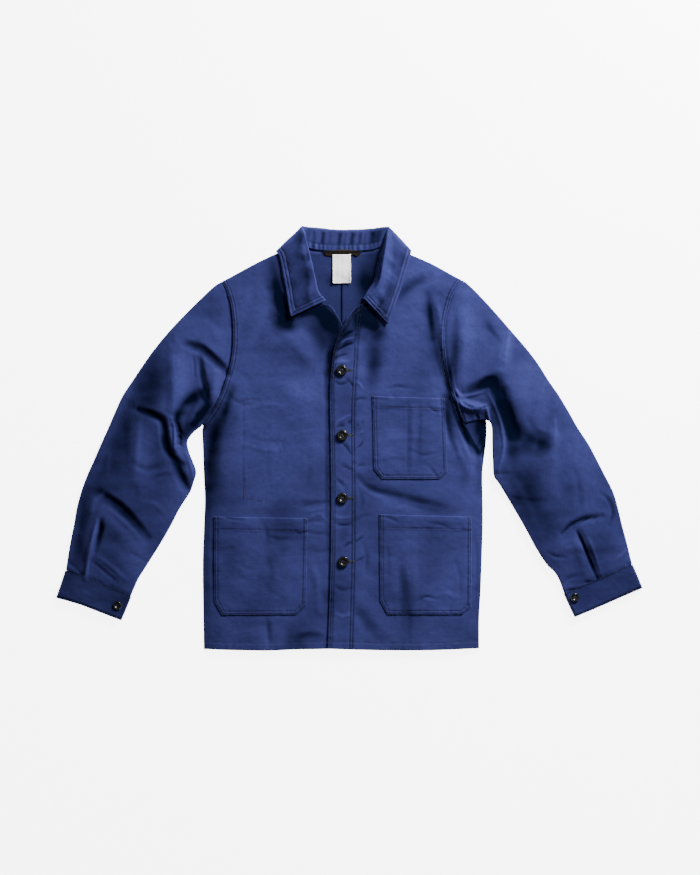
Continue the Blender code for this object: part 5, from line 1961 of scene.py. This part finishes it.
@dataclass
class Pocket(Cut):
    """A patch pocket, stitched to a front along its sides and foot and open along its hemmed mouth."""

    node: str
    front: Front
    outline: Array
    hem: float
    area: float
    flat: Pair
    creases: Rows
    rows: Pair = (2.0, 6.6)
    step: float = 2.6
    cuts: Numbers = (0.0, 0.6, 1.3, 2.0, 2.8, 5.8, 6.6, 7.4)
    mouth_lift: float = 0.8
    bars: Numbers = (0.9, 1.7, 2.5)
    bar_length: float = 6.4

    kind = "patch"

    @property
    def rests_on(self) -> list[str]:
        """The node that it lies on."""
        return [self.front.node]

    @property
    def path(self) -> Array:
        """The stitched edge: down one side, across the foot and up the other."""
        run = run_of(self.outline)
        return at_lengths(self.outline, np.unique(np.concatenate([run, np.linspace(0, run[-1], 60)])))

    def height(self, x: Array, y: Array) -> Array:
        """Height of the pocket's outer face.

        Args:
            x: Points' x.
            y: Points' y.

        Returns:
            The heights.
        """
        path = self.path
        edge, _, place = nearest_on(path, x, y)
        down, _, _ = nearest_on(self.outline[[0, -1]], x, y)
        relief = 0.4 * (1 - smooth_step(edge, 6.2, 8.8)) - 0.75 * (1 - smooth_step(edge, 0, 1.5))
        for row in self.rows:
            relief = relief - 0.7 * bell(edge, row, 0.9)
        run = np.interp(place, np.arange(len(path)), run_of(path))
        relief = relief + 0.28 * puckered(run, 10.5, (1.8, 3.3, 4.7)) * bell(edge, 5, 7)
        hem = 0.4 * (1 - smooth_step(down, self.hem + 0.2, self.hem + 2.2))
        relief = relief + hem * smooth_step(edge, 0, 6)
        relief = relief - 0.6 * bell(down - self.hem, -MOUTH_ROW_INSET, 0.9) * smooth_step(edge, 6, 16)
        relief = relief - 0.3 * (1 - smooth_step(down, 0, 1.2))
        relief = relief + self.mouth_lift * (1 - smooth_step(down, 2, 26)) * smooth_step(edge, 2, 30)
        full = 0.5 * smooth_step(edge, 5, 45)
        return self.front.base(x, y) + LAYER_GAP + WALL + relief + full + folded(self.creases, x, y)

    def tone(self, x: Array, y: Array) -> Array:
        """Tones: paler rubbed edges and mouth, the folds' painted light and shade, painted highlights and
        shade on the creases, and painted shade in the stitch rows.

        Args:
            x: Points' x.
            y: Points' y.

        Returns:
            Tones, above 0 where paler.
        """
        edge, _, _ = nearest_on(self.path, x, y)
        down, _, _ = nearest_on(self.outline[[0, -1]], x, y)
        tone = self.front.lay.tone(x, y) + 0.35 * bell(edge, 0, 1.3) + 0.3 * bell(down, 0, 1.3)
        # Painted shade in the stitch rows, and painted light and shade on the creases
        tone = tone - 0.5 * sum(bell(edge, row, 1) for row in self.rows)
        tone = tone + 0.4 * np.tanh(folded(self.creases, x, y))
        # Painted shade in the hem's row
        return tone - 0.4 * bell(down - self.hem, -MOUTH_ROW_INSET, 1.1)

    def mesh(self) -> Mesh:
        """A fine level grid, cut to the outline, with cuts along its stitch rows, then raised."""
        corners = self.outline
        low, high = corners.min(axis=0) - 1, corners.max(axis=0) + 1
        across, down = (max(2, int(size / self.step)) for size in high - low)
        work = bmesh.new()
        bmesh.ops.create_grid(work, x_segments=across, y_segments=down, size=0.5)
        for vert in work.verts:
            vert.co = Vector((*(low[k] + (vert.co[k] + 0.5) * (high[k] - low[k]) for k in (0, 1)), 0))
        mouth_cuts = (0.0, 0.6, 1.4, self.hem - MOUTH_ROW_INSET, self.hem + 0.4, self.hem + 2.0)
        sides = list(zip(corners, np.roll(corners, -1, axis=0)))
        for a, b in sides:
            normal = unit(-left_of(b - a))
            normal = normal if normal @ (corners.mean(axis=0) - a) < 0 else -normal
            for inset in mouth_cuts if a is sides[-1][0] else self.cuts:
                bmesh.ops.bisect_plane(
                    work, geom=[*work.verts, *work.edges, *work.faces], dist=1e-4, clear_outer=inset == 0,
                    plane_co=Vector((*(a - inset * normal), 0)), plane_no=Vector((*normal, 0)),
                )
        bmesh.ops.dissolve_degenerate(work, edges=work.edges, dist=0.02)
        bmesh.ops.triangulate(work, faces=[face for face in work.faces if len(face.verts) > 4])
        bmesh.ops.recalc_face_normals(work, faces=work.faces)
        work.normal_update()
        if sum(face.normal.z for face in work.faces) < 0:
            bmesh.ops.reverse_faces(work, faces=work.faces)
        made = bpy.data.meshes.new("cloth")
        work.to_mesh(made)
        work.free()
        flat = np.zeros(len(made.vertices) * 3)
        made.vertices.foreach_get("co", flat)
        flat = flat.reshape(-1, 3)
        x, y = flat[:, 0], flat[:, 1]
        made.vertices.foreach_set("co", (np.stack([x, y, self.height(x, y)], axis=1) * MM).ravel())
        corner = np.zeros(len(made.loops), dtype=int)
        made.loops.foreach_get("vertex_index", corner)
        give_tone_and_cloth(made, self.tone(x, y), flat[corner, :2] * MM)
        made.update()
        return made

    def lines(self) -> list[Array]:
        """Two rows round the pocket, the hem's row and the bars at the mouth's ends."""
        corners = self.outline
        after = np.roll(corners, -1, axis=0)
        turns_left = np.sum(corners[:, 0] * after[:, 1] - corners[:, 1] * after[:, 0]) > 0
        found = [offset_line(corners, row if turns_left else -row) for row in self.rows]
        way, into = unit(corners[-1] - corners[0]), unit(corners[1] - corners[0])
        row = into * (self.hem - MOUTH_ROW_INSET)
        found.append(np.array([corners[0] + row + way * 7, corners[-1] + row - way * 7]))
        for end, toward in ((corners[0], way), (corners[-1], -way)):
            starts = [end + into * step + toward * 1.2 for step in self.bars]
            found += [np.array([start, start + toward * self.bar_length]) for start in starts]
        return found


@dataclass
class Strip(Cut):
    """A label sewn to the inside of the back: a strip between two lines."""

    node: str
    head: Array
    foot: Array
    back: Height
    flat: Pair
    area: float
    slot: str = "neck_tape"
    columns: int = 60
    rows: int = 14
    lift: float = 0.35
    curl: float = 0.0
    edge_lift: float = 0.0
    waves: Unevenness = Unevenness(41, 9, 30, 0.10)

    kind = "strip"
    wall = LABEL_WALL
    rests_on = ("back_left_panel",)

    def mesh(self) -> Mesh:
        """Rows from the sewn edge down."""
        u, w = even(self.columns)[None], even(self.rows)[:, None]
        v = w[..., None]
        plan = (1 - v) * along(self.head, u[0]) + v * along(self.foot, u[0])
        x, y = plan[..., 0], plan[..., 1]
        height = self.back(x, y) + LAYER_GAP + LABEL_WALL + self.lift
        height = height + self.curl * (smooth_step(u, 0.86, 1) + 0.7 * (1 - smooth_step(u, 0, 0.12))) * w
        height = height + self.edge_lift * w * (1 + 0.25 * np.sin(7 * u + 1))
        height = height + self.waves.height(x, y)
        return ClothGrid(raised(plan, height), np.zeros(x.shape)).mesh()


@dataclass
class Button:
    """A turned four-hole button with its thread."""

    node: str
    spot: Pair
    radius: float
    cloth: Height
    rim_rest: float = 0.8
    sunk: float = 0.1
    sectors: int = 72
    hole_place: float = 0.23
    hole_edge: Pair = (0.85 - 0.25, 0.85 + 0.15)
    dish_rings: int = 10
    hole_depth: float = 1.6
    dish: float = 0.235
    threads: Numbers = (-0.38, 0.0, 0.38)

    @property
    def rest(self) -> float:
        """Height that the button rests at, on the highest cloth under its rim."""
        turn = np.linspace(0, math.tau, 12, endpoint=False)
        x = self.spot[0] + self.rim_rest * self.radius * np.cos(turn)
        y = self.spot[1] + self.rim_rest * self.radius * np.sin(turn)
        return float(np.max(self.cloth(x, y))) - self.sunk

    @property
    def hole_reach(self) -> float:
        """How far the holes are from the middle, on each axis."""
        return self.hole_place * self.radius * 0.7

    def profile(self) -> list[Pair]:
        """The top from the middle to the rim, then the edge and the underside, as shares of the radius."""
        dish = [(0.02, self.dish)] + [(r, self.dish) for r in np.arange(0.09, 0.40, 0.035)]
        bowl = [(0.43, 0.24), (0.46, 0.26), (0.5, 0.3), (0.54, 0.335), (0.58, 0.352), (0.64, 0.36)]
        rim = [(0.72, 0.375), (0.8, 0.39), (0.86, 0.385), (0.91, 0.36), (0.955, 0.31), (0.985, 0.245)]
        under = [(1, 0.17), (0.985, 0.1), (0.94, 0.045), (0.86, 0.01), (0.7, 0.0), (0.35, 0.0), (0.02, 0.0)]
        return dish + bowl + rim + under

    def build(self, finish: Material) -> Object:
        """Turns the form, with the four holes sunk in its dish, and dresses it.

        Args:
            finish: Its finish.

        Returns:
            The piece.
        """
        turn = np.linspace(0, math.tau, self.sectors, endpoint=False)
        centre = np.array([*self.spot, self.rest])
        rings = []
        for share, height in self.profile():
            x, y = share * self.radius * np.cos(turn), share * self.radius * np.sin(turn)
            z = np.full(self.sectors, height * self.radius)
            for k in range(4) if (share, height) in self.profile()[:self.dish_rings] else ():
                far = np.hypot(x - self.hole_reach * (k // 2 * 2 - 1), y - self.hole_reach * (k % 2 * 2 - 1))
                z -= self.hole_depth * (1 - smooth_step(far, *self.hole_edge))
            rings.append(np.stack([x, y, z], axis=1) + centre)
        index = np.arange(len(rings) * self.sectors).reshape(len(rings), -1)
        after = np.roll(index, -1, axis=1)
        faces = np.stack([index[:-1], index[1:], after[1:], after[:-1]], axis=-1).reshape(-1, 4).tolist()
        faces += [index[0].tolist(), index[-1][::-1].tolist()]
        mesh = bpy.data.meshes.new(self.node)
        mesh.from_pydata((np.concatenate(rings) * MM).tolist(), [], faces)
        mesh.shade_smooth()
        return put(f"{self.node}_disc", mesh, finish, self.node)

    def thread(self, work: Needlework) -> None:
        """Lays the threads that cross between the holes.

        Args:
            work: Where the rows are gathered.
        """
        t = np.linspace(-1, 1, 9)
        z = self.rest + self.dish * self.radius + 0.55 - 0.7 * t**4
        y = self.spot[1] + self.hole_reach * 1.15 * t
        for side in (-1, 1):
            for beside in self.threads:
                x = self.spot[0] + side * self.hole_reach + beside + 0 * t
                work.lay_free(np.stack([x, y, z], axis=1), np.repeat([[0.0, 0.0, 1.0]], len(t), axis=0))


@dataclass(frozen=True)
class Buttonhole:
    """A worked buttonhole across the placket: edging all round a slit, under its button."""

    spot: Pair
    ahead: float = 10.5
    half_length: float = 10.5
    half_width: float = 1.7

    def sew(self, surface: BVHTree, edging: Needlework, slits: Needlework) -> None:
        """Lays the edging and the slit.

        Args:
            surface: The placket's outer face.
            edging: Where the edging's rows are gathered.
            slits: Where the slits are gathered.
        """
        turn = np.linspace(0, math.tau, 41)
        centre = np.array([self.spot[0] + self.ahead, self.spot[1]])
        ring = np.stack([self.half_length * np.cos(turn), self.half_width * np.sin(turn)], axis=1)
        edging.lay_on(surface, centre + ring)
        # The slit is a row of near-black stitches: painted shade in the opening
        reach = np.array([self.half_length - 1.6, 0.0])
        slits.lay_on(surface, np.array([centre - reach, centre + reach]))


@dataclass
class Studio:
    """A pale floor, soft light from above and from the upper right, and the camera over the jacket."""

    centre: Pair = (0.0013, 0.00185)
    distance: float = 3.0
    seen_height: float = 1.619
    sensor: float = 36.0
    floor_reach: float = 6.0
    floor_glow: float = 6.0
    floor_height: float = -0.0006
    sky: Colour = (0.93, 0.95, 1.0, 1)
    sky_strength: float = 0.14

    def floor(self) -> None:
        """The floor."""
        g = Graph("studio_floor")
        material = g.dressed({
            "Base Color": (0.86, 0.862, 0.866, 1), "Roughness": 0.9, "Emission Color": (1, 1, 1, 1),
            "Emission Strength": self.floor_glow, "Normal": g.bump(g.noise(300, 3), 0.05, 0.0002),
        })
        far, z = self.floor_reach, self.floor_height
        mesh = bpy.data.meshes.new("studio_floor")
        mesh.from_pydata([(-far, -far, z), (far, -far, z), (far, far, z), (-far, far, z)], [], [(0, 1, 2, 3)])
        mesh.materials.append(material)
        placed("studio_floor", mesh)

    def light(self, name: str, place: Sequence[float], size: float, power: float) -> None:
        """A square area light that faces the jacket's middle.

        Args:
            name: Its name.
            place: Where it is.
            size: Its width.
            power: Its power in watts.
        """
        data = bpy.data.lights.new(name, "AREA")
        data.shape, data.size, data.energy = "SQUARE", size, power
        lamp = placed(name, data)
        lamp.location = place
        lamp.rotation_euler = (-Vector(place)).to_track_quat("-Z", "Y").to_euler()

    def camera(self) -> None:
        """The camera, straight above, with the collar at the top of its picture."""
        data = bpy.data.cameras.new("camera")
        data.sensor_fit, data.sensor_height = "VERTICAL", self.sensor
        data.lens = self.sensor * self.distance / self.seen_height
        camera = placed("camera", data)
        camera.location = (*self.centre, self.distance)
        bpy.context.scene.camera = camera

    def build(self) -> None:
        """Sets the floor, the lights, the surroundings and the camera."""
        self.floor()
        self.light("key", (1.5, 2.11, 1.11), 0.7, 310.0)
        self.light("overhead", (0.3, 0.5, 3.6), 2.6, 12.0)
        world = bpy.data.worlds.new("studio")
        world.use_nodes = True
        background = world.node_tree.nodes["Background"].inputs
        background["Color"].default_value = self.sky
        background["Strength"].default_value = self.sky_strength
        bpy.context.scene.world = world
        self.camera()


def sew_buttons(fronts: dict[Side, Front], lays: dict[Side, Lay], thread: Material) -> None:
    """Builds the buttons and their buttonholes, and tacks the inner pocket.

    Args:
        fronts: The fronts.
        lays: The lay of each sleeve.
        thread: The thread of the buttons.
    """
    horn = Horn().material()
    # Near-black thread for the buttonholes' edging, the slits and the pocket's tack; along each slit it is
    # painted shade in the opening
    shade = Thread("thread_shaded", (0.001, 0.001, 0.004, 1)).material()
    left = fronts[Side.LEFT]
    buttons = [
        Button(f"button_front_{k}", spot, FRONT_BUTTON_RADIUS, left.height)
        for k, spot in enumerate(FRONT_BUTTONS, 1)
    ] + [
        Button(
            f"button_cuff_{side.word}", spot, CUFF_BUTTON_RADIUS,
            lambda x, y, lay=lays[side]: lay.top(x, y) + Cuff.lift,
        )
        for side, spot in CUFF_BUTTONS.items()
    ]
    threads, edging, slits = Needlework(), Needlework(), Needlework()
    for button in buttons:
        button.build(horn)
        button.thread(threads)
    for spot in FRONT_BUTTONS:
        Buttonhole(spot).sew(left.surface, edging, slits)
    slits.lay_on(fronts[Side.RIGHT].surface, INNER_POCKET_TACK)
    Stitch(0.8, 1.5, 1.3, 0.8).sew("stitches_buttonholes", edging, shade)
    Stitch(1.6, 2.6, 1.6, 1.1).sew("buttonhole_slits", slits, shade)
    Stitch(0.5, 0.8, 0.42, 0.42).sew("button_threads", threads, thread, "button")


def main() -> None:
    """Builds the jacket piece by piece, then the studio."""
    logging.basicConfig(level=logging.INFO, format="%(name)s: %(message)s")
    cloth, thread, stitch = Moleskin().material(), Thread("thread_blue").material(), Stitch()
    body = Lay(BODY_CREASES)
    lays = {Side.LEFT: Lay(LEFT_SLEEVE_CREASES), Side.RIGHT: Lay(RIGHT_SLEEVE_CREASES)}
    backs, fronts = ({side: half(side, body) for side in Side} for half in (Back, Front))
    for side in Side:
        cuff = Cuff(side, lays[side])
        for piece in (backs[side], fronts[side], Sleeve(side, lays[side]), cuff):
            piece.build(cloth)
        for piece in (backs[side], fronts[side], cuff):
            piece.sew(stitch, thread)

    left, right = fronts[Side.LEFT], fronts[Side.RIGHT]
    for piece in (
        Collar(fronts=(left, right)),
        Pocket("pocket_chest", left, CHEST_POCKET, 21.0, 0.0196, (0.137, 0.155), CHEST_CREASES),
        Pocket("pocket_left", left, LEFT_POCKET, 26.0, 0.0304, (0.171, 0.185), LEFT_POCKET_CREASES),
        Pocket("pocket_right", right, RIGHT_POCKET, 25.0, 0.0304, (0.173, 0.182), RIGHT_POCKET_CREASES),
    ):
        piece.build(cloth)
        piece.sew(stitch, thread)
    sew_buttons(fronts, lays, thread)

    inside = backs[Side.LEFT].height
    dark = Tape("tape_dark", (0.013, 0.009, 0.006, 1), (0.006, 0.004, 0.003, 1))
    white = Tape("tape_white", (0.95, 0.95, 0.96, 1), (0.88, 0.88, 0.90, 1), roughness=0.5)
    neck_label = Strip("neck_label", NECK_LABEL_TOP, NECK_LABEL_FOOT, inside, (0.066, 0.012), 0.00066)
    neck_label.build(dark.material())
    care_label = Strip(
        "care_label", CARE_LABEL_TOP, CARE_LABEL_FOOT, inside, (0.034, 0.0535), 0.0018, "care_tape",
        columns=34, rows=54, curl=1.4, edge_lift=0.6,
    )
    care_label.build(white.material())

    Studio().build()


if __name__ == "__main__":
    main()
